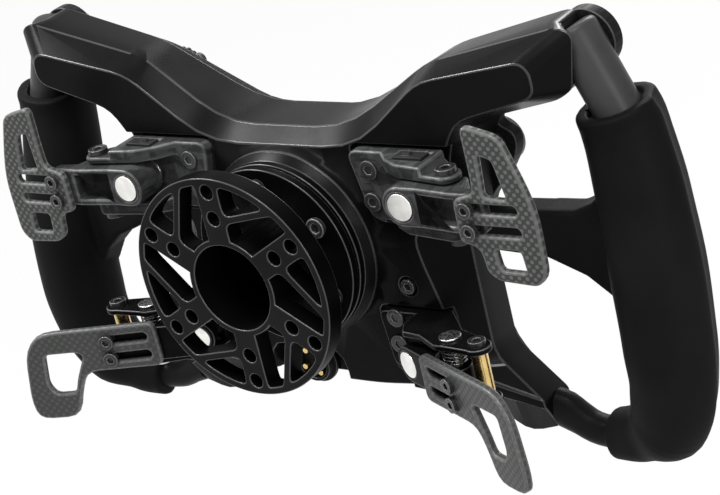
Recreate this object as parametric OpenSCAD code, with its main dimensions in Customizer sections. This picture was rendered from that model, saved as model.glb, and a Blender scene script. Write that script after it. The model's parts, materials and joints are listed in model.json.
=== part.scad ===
// Formula-style racing wheel for a simulator, seen by its driver along +Y.
// The origin is the middle of the hub's rear face, +X is the driver's right,
// +Y points back to the steering column and +Z points up. Sizes in millimetres.

/* [Hub] */
// Bolt circle of the outer ring of hub holes
hub_pcd_outer = 70; // [69:0.2:71]
// Bolt circle of the inner ring of hub holes, shared by the base screws
hub_pcd_inner = 50.8; // [50:0.2:52]
// Diameter of the hub bolt holes
hub_hole_d = 5.2; // [4.2:0.1:5.6]
// Diameter of the hub flange
hub_flange_d = 80; // [79:0.5:86]
// Thickness of the hub flange
hub_flange_t = 7; // [5:0.5:9]
// Width of the flange's outer rim
hub_rim_w = 2.6; // [2:0.1:3.2]
// Width of a spoke that carries two holes
hub_spoke_w = 9.4; // [8.6:0.2:10]
// Width of the slanted rib beside each spoke
hub_rib_w = 2.6; // [2:0.1:3.2]
// Bore through the hub
hub_bore_d = 31.4; // [29:0.2:32]
// Wall of the tube between flange and base disc
hub_tube_wall = 2.2; // [1.8:0.1:3]
// Distance from the flange's face to the face of the base disc
hub_standoff = 24.4; // [20:0.2:28]
// Diameter of the base disc
hub_base_d = 64.6; // [62:0.2:66]
// Thickness of the base disc
hub_base_t = 7; // [6:0.2:9]
// Diameter of the base screws
hub_screw_d = 4; // [3.4:0.1:4.6]

/* [Housing] */
// Diameter of the boss that carries the hub
boss_d = 69.2; // [68:0.2:70]
// Height of that boss above the rear face
boss_h = 8.1; // [6:0.1:9]
// Depth of the housing from its rear face to its open front
body_depth = 25.5; // [24:0.5:28]
// Thickness of the rear wall over the hollow
rear_wall = 6.5; // [6:0.1:8]
// Half the length of the flat valley on top
valley_half = 27; // [25:0.5:29]
// Height of the valley
valley_z = 39.6; // [38:0.2:41]
// Distance of the shoulders from the middle
shoulder_x = 62; // [60:0.5:64]
// Height of the shoulders
shoulder_z = 62; // [60:0.5:63]
// Distance of the seats in the arm ends from the middle
arm_reach = 113; // [112.5:0.5:114]
// How far the bevelled arm tips pass those seats
arm_tip = 6; // [5:0.2:7]
// Height of the arm ends
arm_top_z = 74.5; // [73:0.5:76]
// Depth of the bevel that runs along the top
bevel_depth = 9.8; // [8:0.2:11]
// Half the width of the body between the hand openings
body_half_w = 64; // [63:0.2:66]
// Height of the lower rear edge, below the hub
rear_low_z = -54; // [-54.5:0.1:-53.5]
// Distance of the lower leg ends from the middle
leg_reach = 80; // [79:0.5:81]
// Height of the middle of the leg ends
leg_z = -67; // [-67.5:0.1:-66.5]

/* [Front plate] */
// Thickness of the front plate
plate_t = 5; // [4:0.2:6]
// How far the plate stays inside the housing's edge
plate_inset = 3; // [2:0.1:4]
// Diameter of the round ends of the plate
lobe_d = 21; // [19:0.5:22]
// Diameter of the small screws in plate, brackets and board
small_screw_d = 3; // [2.5:0.1:3.4]

/* [Grips] */
// Diameter of the frame tube above the grip
tube_d = 16; // [15:0.2:17]
// Height of the elbow's lower edge at the arm, above the top of the grip
elbow_near = 7.4; // [7:0.2:8.4]
// Height of its upper edge there
elbow_far = 26; // [25:0.2:27]
// Diameter of the frame inside the grip
core_d = 13; // [12:0.2:14]
// Diameter of the bar from the grip to the leg
bar_d = 11; // [10:0.2:11.6]
// Height of that bar where it meets the leg
leg_bar_h = 14; // [12:0.5:15]
// Diameter of the spigots that sit in the housing
spigot_d = 7; // [6:0.2:7.2]
// Length of the spigots
spigot_l = 10; // [8:0.5:12]
// Width of the grip at its top end
grip_top_w = 26.6; // [25:0.2:28]
// Width of the grip at its fullest
grip_mid_w = 31; // [29:0.2:33]
// Width of the grip above its lower bend
grip_low_w = 28; // [26:0.2:30]
// Width of the grip past its lower bend
grip_end_w = 17.6; // [16:0.2:19]
// Diameter of the grip's collar round the bar
grip_collar_d = 14.6; // [14.4:0.2:16]
// Height of the lug between grip and housing
lug_h = 15; // [12:0.5:17]
// Depth of that lug
lug_depth = 12; // [10:0.5:13]

/* [Shift paddles] */
// Distance of the shift pivot from the middle
shift_pivot_x = 75.8; // [75:0.2:77]
// Height of the middle of the shift lever
shift_z = 22.9; // [22:0.1:23.4]
// Height of the shift lever
shift_lever_h = 14; // [13:0.2:14.6]
// Gap between lever and bracket above and below
shift_side_gap = 0.5; // [0.4:0.1:0.8]
// Thickness of each bracket arm
shift_arm_t = 5; // [4:0.2:5.4]
// Diameter of the shift pivot
shift_pin_d = 4; // [3:0.1:4.6]
// Diameter of the round magnets
magnet_d = 9.5; // [8:0.1:10]
// Thickness of a paddle blade
blade_t = 3; // [2.4:0.1:3.2]
// Width of the adjusting slots in the blades
slot_w = 3.3; // [3.2:0.1:3.5]

/* [Clutch paddles] */
// Distance of the clutch pivot from the middle
clutch_pivot_x = 66.8; // [66:0.2:67.4]
// Height of the middle of the clutch lever
clutch_z = -36.4; // [-36.8:0.1:-36]
// Height of the clutch lever
clutch_lever_h = 13; // [12:0.2:13.4]
// Angle of the clutch blade to the housing's rear face
clutch_tilt = 24; // [22:0.5:26]
// Thickness of the clutch bracket's plates
clutch_plate_t = 2; // [1.6:0.1:2.4]
// Diameter of the clutch pivot
clutch_pin_d = 4; // [3.4:0.1:4.4]
// Diameter of the brass spacer tube
spacer_d = 5.5; // [5:0.1:5.8]
// Diameter of the return spring's wire
spring_wire_d = 0.8; // [0.6:0.05:0.85]
// Mean diameter of the return spring
spring_d = 7.8; // [7:0.1:8.2]
// Turns of the return spring
spring_turns = 5; // [4:0.5:5]

/* [Controls] */
// Diameter of the push button caps
button_d = 12; // [10:0.5:13]
// Travel of the push buttons
button_travel = 1.2; // [0.8:0.1:1.4]
// Diameter of the dials
dial_d = 16; // [14:0.5:17]
// Length of the dials
dial_l = 10; // [8:0.5:12]

/* [Hidden] */
$fn = 48;
// Radial play of a pin or shaft that turns in a bore
run_fit = 0.05;
// Radial play of a screw, spigot or sleeve in its hole
seat_fit = 0.1;
// Gap between moving bodies
move_gap = 0.4;
// How far a cut passes the face it opens
over = 1;

// Planes along Y, from the hub's rear face to the front plate
base_y = -hub_standoff;
boss_y = base_y - hub_base_t;
face_y = boss_y - boss_h;
bevel_y = face_y - bevel_depth;
valley_y = face_y - 6;
mid_y = bevel_y - 5.7;
floor_y = face_y - rear_wall;
front_y = face_y - body_depth;
plate_y = front_y - plate_t;
pocket_y = face_y - 2.5;

hub_angles = [for (i = [0:5]) 30 + 60 * i];
hub_screw_r = hub_screw_d / 2;
small_r = small_screw_d / 2;
hub_head_h = 1.9;
small_head_r = small_screw_d * 0.9;
small_head_h = 2;
tube_ry = hub_bore_d / 2 + hub_tube_wall;
cable_bore_r = hub_bore_d / 2 - 2;

// Controls on the front plate: [x, z] of one side
lobe_at = [arm_reach, 63.7];
ear_at = [69.5, 26];
button_places = [lobe_at, ear_at, [44, 30], [50, -12]];
dial_places = [[71, 45.5], [30, -37]];
button_gap = button_travel + move_gap;
button_cap_h = 3.2;
button_stem_r = 2.4;
bezel_wall = 1.6;
bezel_h = 2.6;
switch_r = 5;
switch_h = 3.4;
dial_shaft_r = 3;
encoder_r = 6.5;
encoder_h = 6.4;
plate_screw_places = [[20, 33], [88, 58.5], [56, 52], [58.6, 8], [44, -53.5], [12, -53.5]];

// Board inside the housing
board_t = 1.6;
board_y = floor_y - 8;
cover_screw_at = [41.5, -15.5];
pillar_r = 3.6;

// Socket under the hub
socket_at = [12.6, -52];
socket_r = 7.5;
socket_y = face_y - 7;
socket_h = 4;
pin_ring_r = 4.85;

// Shift paddle, driver's right side
shift_base_y = face_y + 3.1;
shift_pivot_y = face_y + 10;
shift_top = shift_z + shift_lever_h / 2;
shift_low = shift_z - shift_lever_h / 2;
shift_arm_top = shift_top + shift_side_gap + shift_arm_t;
shift_arm_low = shift_low - shift_side_gap - shift_arm_t;
shift_lug_t = 2.4;
shift_lug_top = shift_top + shift_side_gap + shift_lug_t;
shift_magnet_x = 59.9;
shift_rear_y = face_y + 17.2;
shift_blade_y = face_y + 22 - blade_t;
shift_screws = [[39.4, 29], [38.1, 17.3]];
shift_bolts = [[89.7, shift_z + 3.5], [89.7, shift_z - 3.9]];
shift_slot_end = 106.5;

// Clutch paddle, driver's right side; [s, t] runs along the tilted blade
clutch_base_y = face_y + 2.5;
clutch_pivot_y = face_y + 15.3;
clutch_hinge = [3.6, -11.3];
clutch_spacer = [16.1, -13.9];
clutch_magnet_s = -14.4;
clutch_bar_front = -8;
clutch_seat_front = -6;
clutch_top = clutch_z + clutch_lever_h / 2;
clutch_low = clutch_z - clutch_lever_h / 2;
clutch_plate_low = clutch_low - move_gap - clutch_plate_t;
clutch_plate_top = clutch_z + 12.2;
clutch_hub_top = clutch_z + 2.4;
clutch_screws = [[35.4, -26.4], [34.6, -36.4]];
clutch_bolts = [[18.4, clutch_z + 4.6], [18.4, clutch_z - 2.4]];
clutch_slot_end = 4.8;
spring_pitch = spring_wire_d + 0.47;
spring_low = clutch_hub_top + move_gap + spring_wire_d / 2;

// Shapes that repeat

// A plan drawn in x and z, made solid from y0 to y1
module slab(y0, y1) {
    translate([0, y1, 0]) rotate([90, 0, 0]) linear_extrude(y1 - y0) children();
}

// A plan drawn in x and y, made solid from z0 to z1
module plate(z0, z1) {
    translate([0, 0, z0]) linear_extrude(z1 - z0) children();
}

// A round bar along Y at [x, z]
module peg(at, y0, y1, r) {
    translate([at[0], y1, at[1]]) rotate([90, 0, 0]) cylinder(h = y1 - y0, r = r);
}

// A round bar along Z at [x, y]
module post(at, z0, z1, r) {
    translate([at[0], at[1], z0]) cylinder(h = z1 - z0, r = r);
}

module pair() {
    children();
    mirror([1, 0, 0]) children();
}

// A round-headed screw along Y with a six-sided socket, head at the rear
module screw_y(at, seat, tip, r, head_r, head_h) {
    difference() {
        union() {
            peg(at, tip, seat, r);
            peg(at, seat, seat + head_h, head_r);
        }
        translate([at[0], seat + head_h + over, at[1]]) rotate([90, 0, 0])
            cylinder(h = head_h * 0.6 + over, r = head_r * 0.5, $fn = 6);
    }
}

// Replaces the corner b between a and c by a short curve, or keeps it for d = 0
function corner(a, b, c, d, n) =
    let (p = b + (a - b) * min(d / norm(a - b), 0.45), q = b + (c - b) * min(d / norm(c - b), 0.45))
    d == 0 ? [b] : [for (i = [0:n]) let (k = i / n) p * (1 - k) * (1 - k) + b * 2 * k * (1 - k) + q * k * k];

// Rounds every corner of a closed outline; d gives each corner's length
function rounded(pts, d, n = 3) =
    let (m = len(pts))
    [for (i = [0:m - 1])
        each corner(pts[(i + m - 1) % m], pts[i], pts[(i + 1) % m], is_list(d) ? d[i] : d, n)];

// Adds the mirrored half to an outline that is given for the right side
function both_sides(half) =
    concat(half, [for (i = [len(half) - 1:-1:0]) let (p = half[i]) len(p) == 3 ? [-p[0], p[1], p[2]] : [-p[0], p[1]]]);

function twice(v) = concat(v, [for (i = [len(v) - 1:-1:0]) v[i]]);

// Twice the area of the triangle a, b, c, above zero when it turns left
function turn(a, b, c) = (b[0] - a[0]) * (c[1] - a[1]) - (b[1] - a[1]) * (c[0] - a[0]);

// True when corner i of the outline v can be cut off without touching another corner
function is_ear(p, v, i) =
    let (m = len(v), a = p[v[(i + m - 1) % m]], b = p[v[i]], c = p[v[(i + 1) % m]])
    turn(a, b, c) > 0 && len([for (k = v) let (q = p[k])
        if (q != a && q != b && q != c && turn(a, b, q) >= 0 && turn(b, c, q) >= 0 && turn(c, a, q) >= 0) k]) == 0;

function first_ear(p, v, i = 0) = i == len(v) - 1 || is_ear(p, v, i) ? i : first_ear(p, v, i + 1);

// Splits a flat outline with inward corners into triangles
function ears(p, v) =
    let (m = len(v), i = m > 3 ? first_ear(p, v) : 1, ear = [v[(i + m - 1) % m], v[i], v[(i + 1) % m]])
    m == 3 ? [ear] : concat([ear], ears(p, [for (j = [0:m - 1]) if (j != i) v[j]]));

function flat_cap(ring, order) = ears([for (p = ring) [p[0], p[2]]], order);

// Skins a row of rings that have equal numbers of points; the second half of a
// mirrored ring is split along the other diagonal
module skin(rings, mirrored = false) {
    n = len(rings[0]);
    m = len(rings);
    half = mirrored ? n / 2 : n;
    order = [for (i = [n - 1:-1:0]) i];
    first = mirrored ? flat_cap(rings[0], order) : [order];
    last = mirrored ? flat_cap(rings[m - 1], order) : [order];
    polyhedron(
        points = [for (r = rings) each r],
        faces = concat(
            first,
            [for (f = last) [for (i = [len(f) - 1:-1:0]) (m - 1) * n + f[i]]],
            [for (k = [0:m - 2], i = [0:n - 1]) each let (a = k * n, b = a + n, j = (i + 1) % n)
                i < half ? [[a + i, a + j, b + j], [a + i, b + j, b + i]]
                : [[a + i, a + j, b + i], [a + j, b + j, b + i]]]
        )
    );
}

// Skins a sleeve between outer and inner rings, open at both ends
module sleeve(outer, inner) {
    n = len(outer[0]);
    m = len(outer);
    polyhedron(
        points = [for (r = concat(outer, inner)) each r],
        faces = [
            for (k = [0:m - 2], i = [0:n - 1]) each let (j = (i + 1) % n, a = k * n, b = (k + 1) * n, s = m * n) [
                [a + i, a + j, b + j], [a + i, b + j, b + i],
                [s + a + j, s + a + i, s + b + j], [s + b + j, s + a + i, s + b + i]
            ],
            for (i = [0:n - 1]) each let (j = (i + 1) % n, e = (m - 1) * n, s = m * n) [
                [j, i, s + i], [j, s + i, s + j],
                [e + i, e + j, s + e + i], [s + e + i, e + j, s + e + j]
            ]
        ]
    );
}

// Smooth curve through points, with the ends led in by the two extra points
function curve(p, k) =
    let (i = min(floor(k), len(p) - 4), f = k - i, a = p[i], b = p[i + 1], c = p[i + 2], d = p[i + 3])
    (2 * b + (c - a) * f + (2 * a - 5 * b + 4 * c - d) * f * f + (3 * b - a - 3 * c + d) * f * f * f) / 2;

function unit(v) = v / norm(v);

// Hub

// The two pockets between one spoke and the next, split by the slanted rib
rib_root = [23.9, 0];
rib_angle = 78;
rib_way = [cos(rib_angle), sin(rib_angle)];
rib_side = [sin(rib_angle), -cos(rib_angle)] * hub_rib_w / 2;
rim_r = hub_flange_d / 2 - hub_rim_w;

function polar(r, a) = r * [cos(a), sin(a)];
function arc(r, a, b) = [for (k = [1:3]) polar(r, a + (b - a) * k / 4)];
function at_spoke(p) = p + rib_way * (hub_spoke_w / 2 - p[1]) / rib_way[1];
function at_rim(p) = p + rib_way * (sqrt(pow(p * rib_way, 2) - p * p + rim_r * rim_r) - p * rib_way);

rim_spoke = asin(hub_spoke_w / 2 / rim_r);
pocket_root_r = tube_ry - 1;
tube_spoke = asin(hub_spoke_w / 2 / pocket_root_r);
rib_outer = at_rim(rib_root + rib_side);
rib_inner = at_rim(rib_root - rib_side);
rim_rib_outer = atan2(rib_outer[1], rib_outer[0]);
rim_rib_inner = atan2(rib_inner[1], rib_inner[0]);
outer_pocket = concat(
    [at_spoke(rib_root + rib_side), polar(rim_r, rim_spoke)],
    arc(rim_r, rim_spoke, rim_rib_outer), [rib_outer]
);
inner_pocket = concat(
    [polar(pocket_root_r, tube_spoke), at_spoke(rib_root - rib_side), rib_inner],
    arc(rim_r, rim_rib_inner, 60 - rim_spoke), [polar(rim_r, 60 - rim_spoke), polar(pocket_root_r, 60 - tube_spoke)]
);

module hub_pockets() {
    slab(-hub_flange_t - over, over) polygon(rounded(outer_pocket, [3, 3, 0, 0, 0, 3]));
    slab(-hub_flange_t - over, over) polygon(rounded(inner_pocket, [0, 2.6, 2.6, 0, 0, 0, 2.6, 0]));
}

module hub_adapter() color("#1c1d1f") {
    groove_r = hub_base_d / 2 - 1.6;
    difference() {
        union() {
            difference() {
                peg([0, 0], -hub_flange_t, 0, hub_flange_d / 2);
                for (a = hub_angles) rotate([0, a, 0]) hub_pockets();
            }
            peg([0, 0], boss_y, 0, tube_ry);
            peg([0, 0], boss_y, boss_y + hub_base_t * 0.4, hub_base_d / 2);
            peg([0, 0], boss_y, base_y, groove_r);
            peg([0, 0], boss_y + hub_base_t * 0.55, base_y, hub_base_d / 2);
        }
        peg([0, 0], boss_y - over, over, hub_bore_d / 2);
        for (a = hub_angles) rotate([0, a, 0]) {
            peg([hub_pcd_outer / 2, 0], -hub_flange_t - over, over, hub_hole_d / 2);
            peg([hub_pcd_inner / 2, 0], -hub_flange_t - over, over, hub_hole_d / 2);
            peg([hub_pcd_inner / 2, 0], boss_y - over, base_y + over, hub_screw_r + seat_fit);
        }
    }
}

module hub_screws() color("#2b2c2e") {
    for (a = hub_angles) rotate([0, a, 0])
        screw_y([hub_pcd_inner / 2, 0], base_y, floor_y + 2, hub_screw_r, hub_screw_d * 0.9, hub_head_h);
}

// Housing

// Outlines of the right half, from the valley round to the lower edge, at four depths
rear_half = [
    [valley_half + 5.4, face_y, valley_z - 4.9], [shoulder_x + 1.4, face_y, shoulder_z - 3.2],
    [arm_reach - 9, face_y, arm_top_z - 8.2], [arm_reach - 5.8, face_y, arm_top_z - 11.5],
    [arm_reach - 5.6, face_y, 56.6], [arm_reach - 8.5, face_y, 53.8], [75.7, face_y, 45.6], [69.7, face_y, 36.9],
    [62, face_y, 17], [body_half_w - 15.7, face_y, 4], [body_half_w - 14.2, face_y, -6],
    [body_half_w - 10.3, face_y, -20.6], [body_half_w - 6, face_y, -44], [body_half_w - 6, face_y, -49],
    [body_half_w - 9, face_y, -52], [46, face_y, rear_low_z + 1.5], [20, face_y, rear_low_z - 1]
];
bevel_half = [
    [valley_half, valley_y, valley_z], [shoulder_x - 0.5, bevel_y, shoulder_z - 0.3],
    [arm_reach + 1.5, bevel_y, arm_top_z - 0.2], [arm_reach + arm_tip, bevel_y, arm_top_z - 3],
    [arm_reach + arm_tip - 3.5, bevel_y, 54], [arm_reach - 3, bevel_y, 50.2], [77, bevel_y, 42.2],
    [72, bevel_y, 36.2], [67, bevel_y, 16], [body_half_w + 0.5, bevel_y, 4], [body_half_w, bevel_y, -6],
    [body_half_w, bevel_y, -20], [body_half_w + 0.2, bevel_y, -44], [leg_reach, bevel_y, leg_z + 6.6],
    [leg_reach, bevel_y, leg_z + 3.5], [66, bevel_y, rear_low_z - 3], [40, bevel_y, rear_low_z - 2.5]
];
mid_half = [
    [valley_half - 1.6, mid_y, valley_z + 0.1], [shoulder_x + 0.8, mid_y, shoulder_z],
    [arm_reach - 2.5, mid_y, arm_top_z], [arm_reach, mid_y, arm_top_z - 3],
    [arm_reach, mid_y, 53.4], [arm_reach - 5, mid_y, 49.4], [77.4, mid_y, 41.6], [72.5, mid_y, 35.7],
    [67, mid_y, 15.4], [body_half_w + 0.3, mid_y, 3.6], [body_half_w - 0.2, mid_y, -6],
    [body_half_w - 0.3, mid_y, -21], [body_half_w, mid_y, -44.3], [leg_reach, mid_y, leg_z + 6.4],
    [leg_reach, mid_y, leg_z - 6], [67, mid_y, leg_z - 10], [42, mid_y, rear_low_z - 4]
];
front_half = [
    [valley_half - 3.6, front_y, valley_z + 0.2], [shoulder_x + 2.4, front_y, shoulder_z + 0.5],
    [arm_reach - 2.5, front_y, arm_top_z + 0.3], [arm_reach, front_y, arm_top_z - 2.7],
    [arm_reach, front_y, 53.4], [arm_reach - 5, front_y, 49], [78, front_y, 41], [73.5, front_y, 35],
    [67.5, front_y, 14], [body_half_w - 0.5, front_y, 3], [body_half_w - 1.5, front_y, -6],
    [body_half_w - 1.5, front_y, -22], [body_half_w - 1.2, front_y, -46], [leg_reach, front_y, leg_z + 4],
    [leg_reach, front_y, leg_z - 7], [67, front_y, leg_z - 10], [44, front_y, rear_low_z - 5]
];
half_rounding = [14, 6, 4, 2, 2, 3, 6, 4, 6, 8, 4, 6, 5, 1.5, 1.5, 6, 6];

function body_ring(half) = rounded(both_sides(half), twice(half_rounding), 3);

// Round spigot seats where the grip frame enters arm and leg
tube_y = face_y - 17.4;
arm_seat = [arm_reach, tube_y - 2.6, 64];
leg_seat = [leg_reach, face_y - 18.5, leg_z];
frame_gap = 0.2;

module spigots(r, l) {
    root = 3;
    for (s = [arm_seat, leg_seat])
        translate(s + [frame_gap + root, 0, 0]) rotate([0, -90, 0]) cylinder(h = l + root, r = r);
}

module set_screws(r, tip_gap) {
    for (s = [arm_seat, leg_seat])
        peg([s[0] - spigot_l * 0.5, s[2]], front_y, s[1] - spigot_d / 2 - tip_gap, r);
}

shift_pocket = [[29.8, 36.7], [74, 36.7], [74, 8.7], [34.6, 8.7]];
clutch_pocket = [[26.8, -23.2], [68, -23.2], [68, -49], [29.5, -49]];

module rear_housing() color("#141517") {
    lip_h = 3.4;
    difference() {
        union() {
            skin([for (half = [rear_half, bevel_half, mid_half, front_half]) body_ring(half)], mirrored = true);
            peg([0, 0], face_y - over, boss_y - lip_h, boss_d / 2);
            translate([0, boss_y - lip_h, 0]) rotate([-90, 0, 0])
                cylinder(h = lip_h, r1 = boss_d / 2, r2 = boss_d / 2 - 2.6);
        }
        difference() {
            slab(front_y - over, floor_y) polygon(rounded(both_sides([[55, 26], [55, -47]]), 5));
            pair() peg(cover_screw_at, board_y, floor_y + over, pillar_r);
        }
        peg([0, 0], floor_y - over, boss_y + over, cable_bore_r);
        for (a = hub_angles) rotate([0, a, 0])
            peg([hub_pcd_inner / 2, 0], floor_y - over, boss_y + over, hub_screw_r + seat_fit);
        pair() {
            slab(pocket_y, face_y + over) polygon(rounded(shift_pocket, 4));
            slab(pocket_y, face_y + over) polygon(rounded(clutch_pocket, 4));
            for (at = concat(shift_screws, clutch_screws)) peg(at, floor_y - over, pocket_y + over, small_r + seat_fit);
            peg(cover_screw_at, board_y - over, face_y + over, small_r + seat_fit);
            peg(cover_screw_at, face_y - 1.4, face_y + over, small_head_r + 0.9);
            for (at = dial_places) peg(at, front_y - over, front_y + encoder_h + move_gap, encoder_r + move_gap);
            for (at = plate_screw_places) peg(at, front_y - over, front_y + 8, small_r + seat_fit);
            spigots(spigot_d / 2 + seat_fit, spigot_l + move_gap);
            set_screws(small_r + seat_fit, -over);
        }
        slab(socket_y, face_y + over)
            polygon(rounded([[-6, -43], [28, -43], [28, -80], [-6, -80]], [9, 9, 0, 0]));
    }
}

module cover_screws() color("#2b2c2e") {
    pair() screw_y(cover_screw_at, face_y - 1.4, board_y - board_t, small_r, small_head_r, small_head_h);
}

// Front plate

plate_half = [
    [valley_half - 4, valley_z - 1.6], [shoulder_x + 2, shoulder_z - plate_inset],
    [arm_reach - 2, arm_top_z - plate_inset], [arm_reach - 2, 57], [107, 52.5], [79, 43.6], [72.2, 34.4],
    [78.8, 31], [78.9, 25], [73, 16], [body_half_w - 1, 6], [body_half_w - 5.5, -20], [body_half_w - 5.5, -46],
    [68, -60], [66, leg_z - 6], [46, rear_low_z - 2.5]
];
plate_rounding = [8, 5, 3, 2, 3, 5, 2.5, 2.5, 5, 5, 6, 6, 6, 4, 4, 8];

module front_plate() color("#202123") {
    difference() {
        union() {
            slab(plate_y, front_y) polygon(rounded(both_sides(plate_half), twice(plate_rounding)));
            pair() peg(lobe_at, plate_y, front_y, lobe_d / 2);
        }
        pair() {
            for (at = button_places) {
                peg(at, plate_y - over, front_y + over, button_stem_r + move_gap);
                peg(at, front_y - switch_h, front_y + over, switch_r + seat_fit);
            }
            for (at = dial_places) peg(at, plate_y - over, front_y + over, dial_shaft_r + move_gap);
            for (at = plate_screw_places) peg(at, plate_y - over, front_y + over, small_r + seat_fit);
        }
    }
}

module plate_screws() color("#2b2c2e") {
    pair() for (at = plate_screw_places) front_screw(at);
}

// A button-head screw driven from the front
module front_screw(at) {
    difference() {
        union() {
            peg(at, plate_y, front_y + 7, small_r);
            peg(at, plate_y - small_head_h, plate_y, small_head_r);
        }
        translate([at[0], plate_y - small_head_h * 0.4, at[1]]) rotate([90, 0, 0])
            cylinder(h = small_head_h, r = small_head_r * 0.5, $fn = 6);
    }
}

// Grips

// Line of the grip frame, from the top of the grip round to the leg
grip_top = [arm_reach + 10, face_y - 20, 45.5];
frame_path = [
    grip_top + [-0.2, 0.6, 9], grip_top, [arm_reach + 11.4, face_y - 21.5, 36],
    [arm_reach + 14.6, face_y - 19.6, 14], [arm_reach + 17, face_y - 16.5, -10],
    [arm_reach + 17.8, face_y - 14.2, -34], [arm_reach + 16.4, face_y - 14, -51],
    [arm_reach + 11, face_y - 15.4, -64.4], [arm_reach, face_y - 17.2, -71.6],
    [(arm_reach + leg_reach) / 2 + 5, face_y - 18, -74], [leg_reach + 13, face_y - 18.2, -73.2],
    [leg_reach + 6.5, face_y - 18.4, leg_z - 3], leg_seat + [frame_gap, 0, 0], leg_seat - [6, 0, 0]
];
frame_steps = 3;
frame_last = (len(frame_path) - 3) * frame_steps;
grip_last = 8 * frame_steps;
ring_sides = 20;

// A ring across the frame's path at a step; w and d are its width and depth,
// and lean lifts its outer side
function path_ring(i, w, d, power, lean = 0) =
    let (
        k = i / frame_steps,
        at = curve(frame_path, k),
        way = i == 0 ? [0, 0, -1] : i == frame_last ? [-1, 0, 0]
            : unit(curve(frame_path, k + 0.05) - curve(frame_path, k - 0.05)),
        out = unit(cross(way, [0, 1, 0])),
        back = cross(out, way)
    )
    [for (j = [0:ring_sides - 1])
        let (a = 360 * j / ring_sides,
            q = pow(pow(abs(cos(a)), power) + pow(abs(sin(a)), power), 1 / power))
        at + (out - way * lean) * (w / 2 * cos(a) / q) + back * (d / 2 * sin(a) / q)];

// A ring of the elbow: k runs from the arm's end, upright, to the top of the grip, level
function elbow_ring(k) =
    let (
        corner_at = [arm_reach + frame_gap, 0, grip_top[2]],
        out = [sin(90 * k), 0, cos(90 * k)],
        share = pow(1 - k, 1.5),
        mid_r = grip_top[0] - corner_at[0],
        near = (mid_r - tube_d / 2) * (1 - share) + elbow_near * share,
        far = (mid_r + tube_d / 2) * (1 - share) + elbow_far * share,
        y = ease(arm_seat[1], tube_y, k * 3) + ease(0, grip_top[1] - tube_y, k * 2 - 1),
        d = ease(spigot_d + 0.6, tube_d, k * 3)
    )
    [for (j = [0:ring_sides - 1]) let (a = 360 * j / ring_sides)
        corner_at + out * ((near + far) / 2 + (far - near) / 2 * cos(a)) + [0, y + d / 2 * sin(a), 0]];

function ease(a, b, k) = a + (b - a) * (1 - cos(180 * min(max(k, 0), 1))) / 2;

// Width of the frame: the tube, the core in the grip, then the bar
function core_width(i) =
    i < grip_last ? ease(tube_d, core_d, i / 2) : ease(core_d, bar_d, (i - grip_last + 1) / 2);

// Height of the frame, which grows again where the bar meets the leg
function core_height(i) = i < grip_last ? core_width(i) : ease(core_width(i), leg_bar_h, (i - frame_last + 5) / 5);

// Width of the grip along its path, with both ends drawn in
function grip_width(i) =
    let (k = i / grip_last)
    i == 0 ? grip_top_w - 2.4
    : i == grip_last ? grip_collar_d
    : k < 0.4 ? ease(grip_top_w, grip_mid_w, k / 0.4)
    : k < 0.7 ? ease(grip_mid_w, grip_low_w, (k - 0.4) / 0.3)
    : ease(grip_low_w, grip_end_w, (k - 0.7) / 0.24);

module grip_frame() color("#17181a") {
    elbow_n = 6;
    skin(concat(
        [for (j = [0:elbow_n - 1]) elbow_ring(j / elbow_n)],
        [for (i = [0:frame_last]) path_ring(i, core_height(i), core_width(i), 2)]
    ));
    spigots(spigot_d / 2, spigot_l);
}

module grip() color("#1b1b1c") {
    lug_top = 8.5;
    lug_low = lug_top - lug_h;
    lug_end = body_half_w + 1.8;
    lean = 0.15;
    sleeve(
        [for (i = [0:grip_last]) path_ring(i, grip_width(i), grip_width(i), 2.15, i == 0 ? lean : 0)],
        [for (i = [0:grip_last])
            let (w = core_width(i) + 2 * (i == 0 ? 2 * move_gap : seat_fit)) path_ring(i, w, w, 2, i == 0 ? lean : 0)]
    );
    slab(front_y + move_gap, front_y + move_gap + lug_depth)
        polygon(rounded([[lug_end, lug_top - 0.8], [arm_reach - 7, lug_top + 1.4], [arm_reach + 5, lug_top + 11],
            [arm_reach + 5, lug_low - 22], [arm_reach - 5, lug_low - 9.4], [arm_reach - 23, lug_low - 1.4],
            [lug_end, lug_low]], [0.6, 8, 0, 0, 9, 10, 0.6]));
}

module grip_frame_screws() color("#2b2c2e") {
    pair() set_screws(small_r, 0);
}

// Shift paddles

shift_pivot = [shift_pivot_x, shift_pivot_y];
shift_blade_outline = [
    [93, 54.6], [106.6, 51], [112.4, 35], [114.9, 25], [114.6, 4.8], [110.6, 1], [96.6, 1.8], [92.6, 4.6], [91.6, 13],
    [84.6, 14.6], [84.6, 29.4], [92.8, 31.5], [93.2, 38]
];

// Plan of the upper and lower arm of the bracket
module shift_arm_plan() {
    lug_r = 4.8;
    polygon([[45, pocket_y], [45, shift_base_y], [50, face_y + 8], [57, face_y + 12], [shift_pivot_x, shift_pivot_y + lug_r],
        [shift_pivot_x, shift_pivot_y - lug_r], [66, pocket_y]]);
    translate(shift_pivot) circle(r = lug_r);
}

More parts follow.
